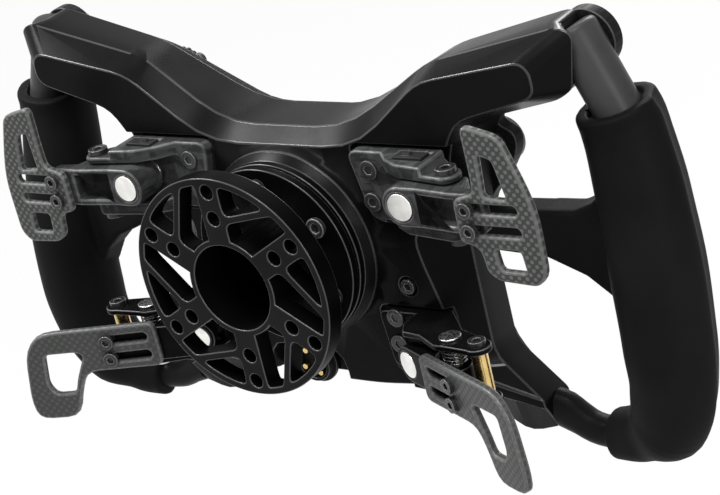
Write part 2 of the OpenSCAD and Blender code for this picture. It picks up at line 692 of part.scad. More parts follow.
module shifter_bracket() color("#26272a") {
    base = [[30.8, shift_arm_top], [66, shift_arm_top], [66, shift_arm_low], [35.6, shift_arm_low]];
    difference() {
        union() {
            slab(pocket_y, shift_base_y) polygon(rounded(base, 4));
            plate(shift_top + shift_side_gap, shift_lug_top) shift_arm_plan();
            plate(shift_top + shift_side_gap, shift_arm_top)
                intersection() {
                    shift_arm_plan();
                    translate([40, pocket_y]) square([28, 40]);
                }
            plate(shift_arm_low, shift_low - shift_side_gap) shift_arm_plan();
        }
        post(shift_pivot, shift_arm_low - over, shift_arm_top + over, shift_pin_d / 2 + run_fit);
        for (at = shift_screws) peg(at, pocket_y - over, shift_base_y + over, small_r + seat_fit);
        peg([shift_magnet_x, shift_z], shift_base_y - 4, shift_base_y + over, magnet_d / 2 + seat_fit);
        translate([52.5, face_y + 1.5, shift_lug_top]) cube([12.5, 6, shift_arm_t]);
    }
}

module shifter_switch() {
    translate([53, face_y + 2, shift_lug_top]) cube([11.5, 5, 3]);
    translate([56, face_y + 3.5, shift_lug_top + 3]) cube([3, 2, 0.8]);
}

module shifter_switches() color("#101113") {
    pair() shifter_switch();
}

module shifter_bracket_screws() color("#2b2c2e") {
    pair() for (at = shift_screws)
        screw_y(at, shift_base_y, floor_y + 1, small_r, small_head_r + 0.6, 1);
}

module shifter_pivots() color("#3a3b3d") {
    pair() difference() {
        union() {
            post(shift_pivot, shift_arm_low, shift_lug_top, shift_pin_d / 2);
            post(shift_pivot, shift_lug_top, shift_lug_top + 2, shift_pin_d / 2 + 1.5);
            post(shift_pivot, shift_arm_low - 2, shift_arm_low, shift_pin_d / 2 + 1.4);
        }
        translate([shift_pivot[0], shift_pivot[1], shift_lug_top + 0.9]) cylinder(h = 3, r = 1.7, $fn = 6);
    }
}

module shifter_lever() color("#2c2d30") {
    end_r = shift_lever_h / 2;
    tip_x = 93.6;
    front_inner = shift_base_y + 1.9;
    difference() {
        intersection() {
            plate(shift_low, shift_top)
                polygon([[shift_magnet_x - end_r - 1, shift_rear_y], [67, shift_rear_y], [81, shift_blade_y],
                    [tip_x, shift_blade_y], [tip_x, shift_blade_y - 4], [84, shift_blade_y - 5.6],
                    [81, shift_pivot_y - 4], [72, shift_pivot_y - 5], [68, front_inner],
                    [shift_magnet_x - end_r - 1, front_inner]]);
            union() {
                peg([shift_magnet_x, shift_z], face_y, face_y + 30, end_r);
                slab(face_y, face_y + 30) translate([shift_magnet_x, shift_low])
                    polygon(rounded([[0, 0], [tip_x - shift_magnet_x, 0], [tip_x - shift_magnet_x, shift_lever_h],
                        [0, shift_lever_h]], [0.1, 3, 3, 0.1]));
            }
        }
        post(shift_pivot, shift_low - over, shift_top + over, shift_pin_d / 2 + run_fit);
        peg([shift_magnet_x, shift_z], face_y, shift_rear_y + over, magnet_d / 2 + seat_fit);
        slab(shift_rear_y - 2.4, shift_blade_y + over)
            polygon([[67.6, shift_low + 2.4], [82.5, shift_low + 2.4], [82.5, shift_top - 2.4], [67.6, shift_top - 2.4]]);
        for (at = shift_bolts) peg(at, face_y, shift_blade_y + over, small_r + seat_fit);
    }
}

module shifter_magnet() color("#e6e4de") {
    peg([shift_magnet_x, shift_z], shift_base_y + move_gap, shift_rear_y + 0.2, magnet_d / 2);
}

module shifter_keepers() color("#c9c8c4") {
    pair() peg([shift_magnet_x, shift_z], shift_base_y - 4, shift_base_y, magnet_d / 2);
}

// A slot with round ends from [x0, z] to [x1, z]
module slot(x0, x1, z) {
    for (x = [x0, x1]) translate([x, z]) circle(d = slot_w);
    translate([x0, z - slot_w / 2]) square([x1 - x0, slot_w]);
}

module shifter_blade() color("#3b3d40") {
    slab(shift_blade_y, shift_blade_y + blade_t) difference() {
        polygon(rounded(shift_blade_outline, [3, 3, 6, 6, 3, 2, 2, 2, 3, 2, 3, 2, 4]));
        polygon(rounded([[97.4, 44.6], [96.6, 30.6], [105.2, 30], [102.4, 43.2]], 1.5));
        polygon(rounded([[97.2, 12.8], [106.6, 12.8], [107.4, 5.4], [98, 5.6]], 1.5));
        for (at = shift_bolts) slot(at[0], shift_slot_end, at[1]);
    }
}

module shifter_bolts() color("#2b2c2e") {
    for (at = shift_bolts)
        screw_y(at, shift_blade_y + blade_t, shift_blade_y - 3.6, small_r, small_head_r, small_head_h);
}

// Clutch paddles

clutch_pivot = [clutch_pivot_x, clutch_pivot_y];

// Places a plan or solid given along the blade, s outwards and t to the rear
module along_blade() {
    translate([clutch_pivot[0], clutch_pivot[1], 0]) rotate([0, 0, clutch_tilt])
        translate([-clutch_hinge[0], -clutch_hinge[1], 0]) children();
}

function from_blade(p) =
    let (q = p - clutch_hinge, c = cos(clutch_tilt), s = sin(clutch_tilt))
    clutch_pivot + [q[0] * c - q[1] * s, q[0] * s + q[1] * c];

clutch_spacer_at = from_blade(clutch_spacer);
clutch_blade_outline = [
    [-0.6, -26.6], [44.8, -26.2], [51.4, -33.5], [54.4, -53], [53, -60.6], [37, -61.2], [33.4, -50.5], [29.5, -43.4],
    [-0.6, -43.9]
];
clutch_hole = [[29.2, -36.6], [32, -35.2], [44, -35], [45.6, -47], [43.6, -51], [36, -51.2], [34, -45.8]];
sensor_at = [from_blade([clutch_magnet_s, clutch_bar_front])[0], clutch_z];
sensor_y = from_blade([clutch_magnet_s, clutch_bar_front])[1] - 2;

// Plan of the clutch bracket's upper and lower plate
module clutch_plate_plan() {
    polygon([[44, pocket_y], [44, face_y + 10], [47, face_y + 15], [54.6, face_y + 16], clutch_pivot + [-3, 6],
        clutch_pivot + [1, 6], clutch_spacer_at + [1, 4.4], clutch_spacer_at + [1, -4.4], clutch_pivot + [1, -6],
        [56, pocket_y]]);
    translate(clutch_pivot) circle(r = 6);
    translate(clutch_spacer_at) circle(r = 4.6);
}

module clutch_bracket() color("#0f1012") {
    base = [[28.4, clutch_plate_top], [56, clutch_plate_top], [56, clutch_plate_low], [30.6, clutch_plate_low]];
    difference() {
        union() {
            slab(pocket_y, clutch_base_y) polygon(rounded(base, 3));
            plate(clutch_plate_top - clutch_plate_t, clutch_plate_top) clutch_plate_plan();
            plate(clutch_plate_low, clutch_plate_low + clutch_plate_t) clutch_plate_plan();
            peg(sensor_at, clutch_base_y - over, sensor_y - 1.2, 4.2);
        }
        post(clutch_pivot, clutch_plate_low - over, clutch_plate_top + over, clutch_pin_d / 2 + run_fit);
        post(clutch_spacer_at, clutch_plate_low - over, clutch_plate_top + over, small_r + seat_fit);
        for (at = clutch_screws) peg(at, pocket_y - over, clutch_base_y + over, small_r + seat_fit);
    }
}

module clutch_bracket_screws() color("#2b2c2e") {
    pair() for (at = clutch_screws)
        screw_y(at, clutch_base_y, floor_y + 1, small_r, small_head_r + 0.6, 1);
}

module clutch_pivots() color("#c4c4c2") {
    pair() {
        post(clutch_pivot, clutch_plate_low, clutch_plate_top, clutch_pin_d / 2);
        post(clutch_pivot, clutch_plate_top, clutch_plate_top + 0.9, clutch_pin_d / 2 + 1.8);
        post(clutch_pivot, clutch_plate_low - 2, clutch_plate_low, clutch_pin_d / 2 + 1.4);
    }
}

module clutch_spacers() color("#c79a45") {
    pair() difference() {
        post(clutch_spacer_at, clutch_plate_low + clutch_plate_t, clutch_plate_top - clutch_plate_t, spacer_d / 2);
        post(clutch_spacer_at, clutch_plate_low, clutch_plate_top, small_r + seat_fit);
    }
}

module clutch_spacer_screws() color("#2b2c2e") {
    pair() difference() {
        union() {
            post(clutch_spacer_at, clutch_plate_low - 2, clutch_plate_top, small_r);
            post(clutch_spacer_at, clutch_plate_top, clutch_plate_top + small_head_h, small_head_r + 0.3);
            post(clutch_spacer_at, clutch_plate_low - 2, clutch_plate_low, small_head_r);
        }
        translate([clutch_spacer_at[0], clutch_spacer_at[1], clutch_plate_top + 1]) cylinder(h = 3, r = 1.4, $fn = 6);
    }
}

module clutch_lever() color("#141517") {
    hub_r = 5.6;
    end_r = clutch_lever_h / 2;
    seat_end = 21;
    difference() {
        intersection() {
            union() {
                along_blade() plate(clutch_low, clutch_top)
                    polygon([[clutch_magnet_s - end_r, -blade_t], [seat_end, -blade_t], [seat_end, clutch_seat_front],
                        [10.5, clutch_seat_front], [clutch_hinge[0] + 4, clutch_hinge[1] + 2.5],
                        [clutch_hinge[0] - 4.6, clutch_hinge[1] + 1], [-8, clutch_bar_front],
                        [clutch_magnet_s - end_r, clutch_bar_front]]);
                post(clutch_pivot, clutch_low, clutch_top, hub_r);
            }
            union() {
                along_blade() peg([clutch_magnet_s, clutch_z], -30, 10, end_r);
                along_blade() slab(-30, 10) translate([clutch_magnet_s, clutch_low]) square([50, clutch_lever_h]);
            }
        }
        post(clutch_pivot, clutch_low - over, clutch_top + over, clutch_pin_d / 2 + run_fit);
        post(clutch_pivot, clutch_hub_top, clutch_top + over, hub_r + 0.2);
        along_blade() {
            peg([clutch_magnet_s, clutch_z], clutch_bar_front + 2, over, magnet_d / 2 + seat_fit);
            for (at = clutch_bolts) peg(at, -20, over, small_r + seat_fit);
        }
    }
}

module clutch_magnet() color("#e6e4de") {
    along_blade() peg([clutch_magnet_s, clutch_z], clutch_bar_front + 2, -blade_t + 0.2, magnet_d / 2);
}

module clutch_blade() color("#3b3d40") {
    along_blade() slab(-blade_t, 0) difference() {
        polygon(rounded(clutch_blade_outline, [3, 6, 6, 5, 5, 5, 5, 5, 3]));
        polygon(rounded(clutch_hole, 1.8));
        for (at = clutch_bolts) slot(clutch_slot_end, at[0], at[1]);
    }
}

module clutch_bolts() color("#2b2c2e") {
    along_blade() for (at = clutch_bolts) screw_y(at, 0, -blade_t - 2.6, small_r, small_head_r, small_head_h);
}

module clutch_sensors() color("#0c0d0e") {
    pair() peg(sensor_at, sensor_y - 1.2, sensor_y, 3);
}

// Return spring: one helix round the pivot, with straight legs at both ends

spring_ring_n = 8;
spring_sides = 6;
spring_low_leg = 3.2;
spring_top_leg = 8;

function spring_point(k) =
    let (a = clutch_tilt + 180 + 360 * k)
    [clutch_pivot[0] + spring_d / 2 * cos(a), clutch_pivot[1] + spring_d / 2 * sin(a), spring_low + spring_pitch * k];

function spring_way(k) = unit(spring_point(k + 0.01) - spring_point(k - 0.01));

spring_line = concat(
    [spring_point(0) - spring_way(0) * spring_low_leg, spring_point(0) - spring_way(0) * spring_wire_d],
    [for (i = [0:spring_turns * spring_ring_n]) spring_point(i / spring_ring_n)],
    [spring_point(spring_turns) + spring_way(spring_turns) * spring_wire_d,
        spring_point(spring_turns) + spring_way(spring_turns) * spring_top_leg]
);

function line_way(p, i) = unit(p[min(i + 1, len(p) - 1)] - p[max(i - 1, 0)]);

function wire_ring(p, i) =
    let (w = line_way(p, i), u = unit(cross(w, [0, 0, 1])), v = cross(u, w))
    [for (j = [0:spring_sides - 1]) let (a = 360 * j / spring_sides)
        p[i] + (u * cos(a) + v * sin(a)) * spring_wire_d / 2];

spring_gap = min([for (i = [0:len(spring_line) - 1], j = [i + spring_ring_n - 2:1:len(spring_line) - 1])
    norm(spring_line[i] - spring_line[j])]) - spring_wire_d;

module clutch_spring() color("#d8d8d6") {
    echo(spring_gap = spring_gap);
    skin([for (i = [0:len(spring_line) - 1]) wire_ring(spring_line, i)]);
}

// Electronics

module circuit_board() color("#1d4a33") {
    difference() {
        slab(board_y - board_t, board_y) polygon(rounded(both_sides([[51, 22], [51, -34]]), 4));
        pair() peg(cover_screw_at, board_y - board_t - over, board_y + over, small_r + seat_fit);
        peg([0, 0], board_y - board_t - over, board_y + over, 6);
    }
}

module socket() color("#161718") {
    difference() {
        union() {
            peg(socket_at, socket_y, socket_y + 1.4, socket_r + 1.5);
            peg(socket_at, socket_y, socket_y + socket_h, socket_r);
        }
        peg(socket_at, socket_y + 1.4, socket_y + socket_h + over, socket_r - 1.2);
    }
}

module socket_pins() color("#cfae62") {
    for (a = [-29:90:241])
        peg(socket_at + pin_ring_r * [cos(a), sin(a)], socket_y + 1.4, socket_y + socket_h - 0.4, 1.1);
}

// Front controls

module button(i) color("#0f0f10") {
    at = button_places[i];
    cap_y = plate_y - button_gap;
    peg(at, cap_y - button_cap_h, cap_y, button_d / 2);
    peg(at, cap_y, front_y - switch_h - button_gap, button_stem_r);
}

module button_bezels() color("#3a3c3f") {
    pair() for (at = button_places) difference() {
        peg(at, plate_y - bezel_h, plate_y, button_d / 2 + move_gap + bezel_wall);
        peg(at, plate_y - bezel_h - over, plate_y + over, button_d / 2 + move_gap);
    }
}

module button_switches() color("#101113") {
    pair() for (at = button_places) peg(at, front_y - switch_h, front_y, switch_r);
}

module dial(i) color("#18191a") {
    at = dial_places[i];
    dial_back = plate_y - move_gap;
    flutes = 18;
    difference() {
        peg(at, dial_back - dial_l, dial_back, dial_d / 2);
        for (a = [0:360 / flutes:359])
            peg(at + (dial_d / 2 + 0.5) * [cos(a), sin(a)], dial_back - dial_l - over, dial_back - 2, 1);
        translate([at[0] - 0.5, dial_back - dial_l - over, at[1]]) cube([1, over + 0.6, dial_d / 2 - 1.5]);
    }
    peg(at, dial_back, front_y + encoder_h - 1.5, dial_shaft_r);
}

module dial_encoders() color("#2a2b2c") {
    pair() for (at = dial_places) difference() {
        peg(at, front_y, front_y + encoder_h, encoder_r);
        peg(at, front_y - over, front_y + encoder_h - 1.5 + move_gap, dial_shaft_r + run_fit);
    }
}

hub_adapter();
hub_screws();
rear_housing();
front_plate();
plate_screws();
cover_screws();
mirror([1, 0, 0]) grip_frame();  // grip_frame_left
grip_frame();  // grip_frame_right
mirror([1, 0, 0]) grip();  // grip_left
grip();  // grip_right
grip_frame_screws();
mirror([1, 0, 0]) shifter_bracket();  // shifter_bracket_left
shifter_bracket();  // shifter_bracket_right
shifter_bracket_screws();
shifter_pivots();
mirror([1, 0, 0]) shifter_lever();  // shifter_lever_left
shifter_lever();  // shifter_lever_right
mirror([1, 0, 0]) shifter_magnet();  // shifter_magnet_left
shifter_magnet();  // shifter_magnet_right
mirror([1, 0, 0]) shifter_blade();  // shifter_blade_left
shifter_blade();  // shifter_blade_right
mirror([1, 0, 0]) shifter_bolts();  // shifter_bolts_left
shifter_bolts();  // shifter_bolts_right
shifter_keepers();
shifter_switches();
mirror([1, 0, 0]) clutch_bracket();  // clutch_bracket_left
clutch_bracket();  // clutch_bracket_right
clutch_bracket_screws();
clutch_pivots();
mirror([1, 0, 0]) clutch_spring();  // clutch_spring_left
clutch_spring();  // clutch_spring_right
clutch_spacers();
clutch_spacer_screws();
mirror([1, 0, 0]) clutch_lever();  // clutch_lever_left
clutch_lever();  // clutch_lever_right
mirror([1, 0, 0]) clutch_magnet();  // clutch_magnet_left
clutch_magnet();  // clutch_magnet_right
mirror([1, 0, 0]) clutch_blade();  // clutch_blade_left
clutch_blade();  // clutch_blade_right
mirror([1, 0, 0]) clutch_bolts();  // clutch_bolts_left
clutch_bolts();  // clutch_bolts_right
clutch_sensors();
circuit_board();
socket();
socket_pins();
mirror([1, 0, 0]) button(0);  // button_top_left
button(0);  // button_top_right
mirror([1, 0, 0]) button(1);  // button_thumb_left
button(1);  // button_thumb_right
mirror([1, 0, 0]) button(2);  // button_inner_left
button(2);  // button_inner_right
mirror([1, 0, 0]) button(3);  // button_lower_left
button(3);  // button_lower_right
button_bezels();
button_switches();
mirror([1, 0, 0]) dial(0);  // dial_upper_left
dial(0);  // dial_upper_right
mirror([1, 0, 0]) dial(1);  // dial_lower_left
dial(1);  // dial_lower_right
dial_encoders();
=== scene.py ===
"""Studio scene of a formula-style racing wheel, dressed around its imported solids."""

import json
import logging
import math
from dataclasses import dataclass, field
from enum import Enum, IntEnum
from typing import Protocol

import bmesh
import bpy
from mathutils import Matrix, Vector
from mathutils.geometry import delaunay_2d_cdt


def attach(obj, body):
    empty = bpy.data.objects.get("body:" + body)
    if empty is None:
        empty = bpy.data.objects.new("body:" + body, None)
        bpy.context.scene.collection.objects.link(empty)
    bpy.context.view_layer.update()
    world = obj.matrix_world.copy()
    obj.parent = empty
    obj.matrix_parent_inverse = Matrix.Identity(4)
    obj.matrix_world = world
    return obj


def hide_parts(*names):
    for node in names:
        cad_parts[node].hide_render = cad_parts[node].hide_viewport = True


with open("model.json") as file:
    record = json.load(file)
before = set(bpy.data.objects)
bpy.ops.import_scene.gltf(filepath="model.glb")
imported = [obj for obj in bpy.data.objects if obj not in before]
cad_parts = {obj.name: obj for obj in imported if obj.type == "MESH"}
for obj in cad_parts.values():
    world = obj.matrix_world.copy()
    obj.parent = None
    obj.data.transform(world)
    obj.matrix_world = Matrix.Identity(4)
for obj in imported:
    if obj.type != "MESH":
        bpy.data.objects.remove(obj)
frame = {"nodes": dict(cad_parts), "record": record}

log = logging.getLogger("racing_wheel")

MM = 0.001
Colour = tuple[float, float, float]
Point = tuple[float, float, float]


class Side(Enum):
    """The two hands of the wheel; the value is the sign of X."""

    LEFT = -1
    RIGHT = 1

    @property
    def word(self) -> str:
        """Names the side as the solids do.

        Returns:
            The name in lower case.
        """
        return self.name.lower()


class Layer(IntEnum):
    """Material slots of a dressed mesh: faces, painted highlight (broken edges, tube bar), painted shade (bores)."""

    FACE = 0
    EDGE = 1
    # Painted shade: a darker slot for bores and deep recesses.
    BORE = 2


class Coat(Enum):
    """The finishes that the pieces can take."""

    BODY = "body_black"
    # The edge finishes are painted highlights: lighter copies of the face finishes for broken edges.
    BODY_EDGE = "body_edge"
    HUB = "hub_black"
    HUB_EDGE = "hub_edge"
    # Painted shade: darker hub finish for its bore and deep recesses.
    HUB_BORE = "hub_bore"
    # Painted light: a lighter copy of the black finish for the tube's upper bar.
    TUBE = "tube_black"
    GREY = "grey_anodised"
    RUBBER = "grip_rubber"
    CHOPPED = "chopped_carbon"
    CHOPPED_EDGE = "chopped_carbon_edge"
    WEAVE = "weave_blade"
    WEAVE_EDGE = "weave_blade_edge"
    WEAVE_TURNED_LEFT = "weave_turned_left"
    WEAVE_TURNED_RIGHT = "weave_turned_right"
    PLATE = "weave_plate"
    PLATE_EDGE = "weave_plate_edge"
    PAINT = "gloss_paint"
    PAINT_EDGE = "gloss_paint_edge"
    SCREW = "black_steel"
    SCREW_EDGE = "black_steel_edge"
    STEEL = "bright_steel"
    SPRING = "spring_steel"
    NICKEL = "bright_nickel"
    BRASS = "brass"
    PLASTIC = "black_plastic"
    BOARD = "board_green"


class Graph:
    """The node tree of one material, with short calls that add and join nodes."""

    # The mix node has sockets for several types; these are the colours.
    MIX_A = 6
    MIX_B = 7
    MIX_OUT = 2

    def __init__(self, name: str) -> None:
        """Starts a material with one principled shader.

        Args:
            name: Name of the material.
        """
        self.material = bpy.data.materials.new(name)
        self.material.use_nodes = True
        self.tree = self.material.node_tree
        self.tree.nodes.clear()
        self.shader = self.add("ShaderNodeBsdfPrincipled")
        out = self.add("ShaderNodeOutputMaterial")
        self.join(self.shader.outputs["BSDF"], out.inputs["Surface"])
        self.place = self.add("ShaderNodeTexCoord").outputs["Object"]

    def add(self, kind: str, **settings: object) -> bpy.types.Node:
        """Adds a node.

        Args:
            kind: Blender's name for the node type.
            settings: Attributes to set on the node.

        Returns:
            The new node.
        """
        node = self.tree.nodes.new(kind)
        for key, value in settings.items():
            setattr(node, key, value)
        return node

    def join(self, source: bpy.types.NodeSocket, target: bpy.types.NodeSocket) -> None:
        """Links an output to an input.

        Args:
            source: The output.
            target: The input.
        """
        self.tree.links.new(source, target)

    def set(self, **values: object) -> None:
        """Sets shader sockets.

        Args:
            values: Socket values by name; underscores in a name stand for spaces.
        """
        for key, value in values.items():
            self.shader.inputs[key.replace("_", " ")].default_value = value

    def feed(self, name: str, source: bpy.types.NodeSocket) -> None:
        """Links an output to a shader socket.

        Args:
            name: Name of the socket.
            source: The output.
        """
        self.join(source, self.shader.inputs[name])

    def mapped(self, scale: Point = (1, 1, 1), turn: Point = (0, 0, 0)) -> bpy.types.NodeSocket:
        """Scales and turns object coordinates.

        Args:
            scale: Scale along each axis.
            turn: Turn about each axis, in degrees.

        Returns:
            The mapped coordinates.
        """
        node = self.add("ShaderNodeMapping")
        node.inputs["Scale"].default_value = scale
        node.inputs["Rotation"].default_value = [math.radians(a) for a in turn]
        self.join(self.place, node.inputs["Vector"])
        return node.outputs["Vector"]

    def noise(
        self, scale: float, detail: float = 2, where: bpy.types.NodeSocket | None = None
    ) -> bpy.types.NodeSocket:
        """Adds fractal noise.

        Args:
            scale: Features per metre.
            detail: Octaves of finer noise.
            where: Coordinates, or None for object coordinates.

        Returns:
            The noise value.
        """
        node = self.add("ShaderNodeTexNoise")
        node.inputs["Scale"].default_value = scale
        node.inputs["Detail"].default_value = detail
        self.join(where or self.place, node.inputs["Vector"])
        return node.outputs["Fac"]

    def cells(self, scale: float, where: bpy.types.NodeSocket) -> bpy.types.NodeSocket:
        """Adds a cell pattern.

        Args:
            scale: Cells per metre.
            where: Coordinates of the pattern.

        Returns:
            One grey value for each cell.
        """
        node = self.add("ShaderNodeTexVoronoi", feature="F1")
        node.inputs["Scale"].default_value = scale
        self.join(where, node.inputs["Vector"])
        grey = self.add("ShaderNodeSeparateColor")
        self.join(node.outputs["Color"], grey.inputs["Color"])
        return grey.outputs["Red"]

    def calc(
        self, kind: str, a: bpy.types.NodeSocket, b: bpy.types.NodeSocket | float = 0.0
    ) -> bpy.types.NodeSocket:
        """Adds a math node.

        Args:
            kind: Blender's name for the operation.
            a: First value.
            b: Second value, a socket or a number.

        Returns:
            The result.
        """
        node = self.add("ShaderNodeMath", operation=kind)
        self.join(a, node.inputs[0])
        if isinstance(b, (int, float)):
            node.inputs[1].default_value = b
        else:
            self.join(b, node.inputs[1])
        return node.outputs[0]

    def span(
        self, value: bpy.types.NodeSocket, low: float, high: float, to_low: float, to_high: float
    ) -> bpy.types.NodeSocket:
        """Maps a value smoothly from one range to another.

        Args:
            value: The value.
            low: Start of its range.
            high: End of its range.
            to_low: Start of the new range.
            to_high: End of the new range.

        Returns:
            The mapped value.
        """
        node = self.add("ShaderNodeMapRange", interpolation_type="SMOOTHSTEP")
        self.join(value, node.inputs["Value"])
        for key, number in (("From Min", low), ("From Max", high), ("To Min", to_low), ("To Max", to_high)):
            node.inputs[key].default_value = number
        return node.outputs["Result"]

    def blend(self, factor: bpy.types.NodeSocket, dark: Colour, light: Colour) -> bpy.types.NodeSocket:
        """Mixes two colours.

        Args:
            factor: Share of the light colour.
            dark: Colour at 0.
            light: Colour at 1.

        Returns:
            The mixed colour.
        """
        node = self.add("ShaderNodeMix", data_type="RGBA")
        self.join(factor, node.inputs["Factor"])
        node.inputs[self.MIX_A].default_value = (*dark, 1)
        node.inputs[self.MIX_B].default_value = (*light, 1)
        return node.outputs[self.MIX_OUT]

    def bump(self, height: bpy.types.NodeSocket, depth: float, strength: float = 1.0) -> None:
        """Adds surface relief to the shader.

        Args:
            height: The relief, 0 to 1.
            depth: Depth of the relief, in metres.
            strength: Strength of the effect.
        """
        node = self.add("ShaderNodeBump")
        node.inputs["Distance"].default_value = depth
        node.inputs["Strength"].default_value = strength
        self.join(height, node.inputs["Height"])
        self.join(node.outputs["Normal"], self.shader.inputs["Normal"])


class Finish(Protocol):
    """Anything that can make a material."""

    def make(self, name: str) -> bpy.types.Material:
        """Builds the material.

        Args:
            name: Name of the material.

        Returns:
            The material.
        """


def shade(colour: Colour, factor: float) -> Colour:
    """Makes a colour lighter or darker.

    Args:
        colour: The colour.
        factor: Factor for each channel, which stays at 1 or less.

    Returns:
        The new colour.
    """
    return tuple(min(1.0, c * factor) for c in colour)


@dataclass(frozen=True)
class BlastedMetal:
    """Bead-blasted and anodised aluminium, also used for moulded plastic."""

    colour: Colour
    roughness: float = 0.42
    gloss: float = 0.3
    metal: float = 0.0
    grain: float = 2400
    depth: float = 0.00002
    blotch: float = 38

    def make(self, name: str) -> bpy.types.Material:
        """Builds the material.

        Args:
            name: Name of the material.

        Returns:
            The material.
        """
        g = Graph(name)
        g.set(Metallic=self.metal, Specular_IOR_Level=self.gloss)
        fine = g.noise(self.grain, 3)
        broad = g.noise(self.blotch, 4)
        uneven = g.span(broad, 0.3, 0.7, 0, 1)
        g.feed("Base Color", g.blend(uneven, shade(self.colour, 0.82), shade(self.colour, 1.2)))
        smear = g.calc("ADD", g.calc("MULTIPLY", broad, 0.6), g.calc("MULTIPLY", fine, 0.4))
        g.feed("Roughness", g.span(smear, 0.3, 0.7, self.roughness - 0.06, self.roughness + 0.07))
        g.bump(fine, self.depth, 0.6)
        return g.material


@dataclass(frozen=True)
class Rubber:
    """Fine matt moulded rubber."""

    colour: Colour
    roughness: float = 0.58
    gloss: float = 0.04
    grain: float = 1500
    depth: float = 0.00006
    blotch: float = 24

    def make(self, name: str) -> bpy.types.Material:
        """Builds the material.

        Args:
            name: Name of the material.

        Returns:
            The material.
        """
        g = Graph(name)
        g.set(Specular_IOR_Level=self.gloss)
        fine = g.noise(self.grain, 3)
        rubbed = g.noise(self.blotch, 3)
        uneven = g.span(rubbed, 0.3, 0.72, 0, 1)
        g.feed("Base Color", g.blend(uneven, shade(self.colour, 0.8), shade(self.colour, 1.35)))
        worn = g.calc("ADD", g.calc("MULTIPLY", rubbed, 0.5), g.calc("MULTIPLY", fine, 0.5))
        g.feed("Roughness", g.span(worn, 0.3, 0.7, self.roughness - 0.09, self.roughness + 0.08))
        g.bump(fine, self.depth, 0.8)
        return g.material


@dataclass(frozen=True)
class WovenCarbon:
    """Carbon laminate with a plain weave of flat tows under satin lacquer."""

    dark: Colour
    light: Colour
    tow: float = 1.5
    turn: float = 0.0
    roughness: float = 0.36
    gloss: float = 0.12
    lacquer: float = 0.04
    fibres: Point = (5200, 5200, 900)
    depth: float = 0.00003

    def make(self, name: str) -> bpy.types.Material:
        """Builds the material.

        Args:
            name: Name of the material.

        Returns:
            The material.
        """
        g = Graph(name)
        g.set(Specular_IOR_Level=self.gloss, Coat_Weight=self.lacquer, Coat_Roughness=0.3)
        ways = g.add("ShaderNodeSeparateXYZ")
        g.join(g.mapped(turn=(0, 0, self.turn)), ways.inputs[0])
        pitch = math.pi / (self.tow * MM)
        wave = [g.calc("SINE", g.calc("MULTIPLY", ways.outputs[key], pitch)) for key in ("X", "Z")]
        weave = g.calc("MULTIPLY", *wave)
        fibre = g.noise(1, 2, g.mapped(self.fibres, (0, 0, self.turn)))
        tone = g.calc("ADD", g.span(weave, 0.05, 0.45, 0, 0.85), g.calc("MULTIPLY", fibre, 0.22))
        g.feed("Base Color", g.blend(tone, self.dark, self.light))
        g.feed("Roughness", g.span(weave, -0.8, 0.8, self.roughness + 0.08, self.roughness - 0.06))
        g.bump(g.span(g.calc("ABSOLUTE", weave), 0, 0.6, 0, 1), self.depth, 0.5)
        return g.material


@dataclass(frozen=True)
class ChoppedCarbon:
    """Pressed carbon chips that lie in all directions under satin resin."""

    dark: Colour
    light: Colour
    roughness: float = 0.4
    gloss: float = 0.08
    chips_across: float = 150
    chips_along: float = 170
    fibres: Point = (3600, 700, 700)
    depth: float = 0.00002

    def make(self, name: str) -> bpy.types.Material:
        """Builds the material.

        Args:
            name: Name of the material.

        Returns:
            The material.
        """
        g = Graph(name)
        g.set(Specular_IOR_Level=self.gloss)
        across = g.cells(self.chips_across, g.mapped((1, 1, 3.4), (0, 35, 20)))
        along = g.cells(self.chips_along, g.mapped((3.2, 1, 1), (0, 20, -30)))
        chips = g.calc("ADD", g.calc("MULTIPLY", across, 0.55), g.calc("MULTIPLY", along, 0.45))
        fibre = g.noise(1, 2, g.mapped(self.fibres, (0, 40, 25)))
        tone = g.calc("ADD", g.span(chips, 0.25, 0.85, 0, 0.8), g.calc("MULTIPLY", fibre, 0.25))
        g.feed("Base Color", g.blend(tone, self.dark, self.light))
        g.feed("Roughness", g.span(chips, 0.2, 0.8, self.roughness + 0.08, self.roughness - 0.08))
        g.bump(chips, self.depth, 0.4)
        return g.material


@dataclass(frozen=True)
class DrawnMetal:
    """Bare or plated metal with fine turning lines."""

    colour: Colour
    roughness: float = 0.28
    lines: Point = (900, 900, 4200)
    depth: float = 0.00001
    blotch: float = 160

    def make(self, name: str) -> bpy.types.Material:
        """Builds the material.

        Args:
            name: Name of the material.

        Returns:
            The material.
        """
        g = Graph(name)
        g.set(Metallic=1.0)
        turned = g.noise(1, 3, g.mapped(self.lines))
        stain = g.noise(self.blotch, 3)
        uneven = g.span(stain, 0.35, 0.7, 0, 1)
        g.feed("Base Color", g.blend(uneven, shade(self.colour, 0.86), shade(self.colour, 1.06)))
        g.feed("Roughness", g.span(turned, 0.3, 0.7, self.roughness - 0.06, self.roughness + 0.08))
        g.bump(turned, self.depth, 0.4)
        return g.material


@dataclass(frozen=True)
class Lacquer:
    """Gloss paint with a slight orange peel."""

    colour: Colour
    roughness: float = 0.2
    gloss: float = 0.03
    peel: float = 420
    depth: float = 0.00002
    blotch: float = 90

    def make(self, name: str) -> bpy.types.Material:
        """Builds the material.

        Args:
            name: Name of the material.

        Returns:
            The material.
        """
        g = Graph(name)
        g.set(Specular_IOR_Level=self.gloss)
        peel = g.noise(self.peel, 2)
        dust = g.noise(self.blotch, 4)
        g.feed("Base Color", g.blend(g.span(dust, 0.35, 0.75, 0, 1), self.colour, shade(self.colour, 1.6)))
        g.feed("Roughness", g.span(dust, 0.35, 0.75, self.roughness, self.roughness + 0.12))
        g.bump(peel, self.depth, 0.5)
        return g.material


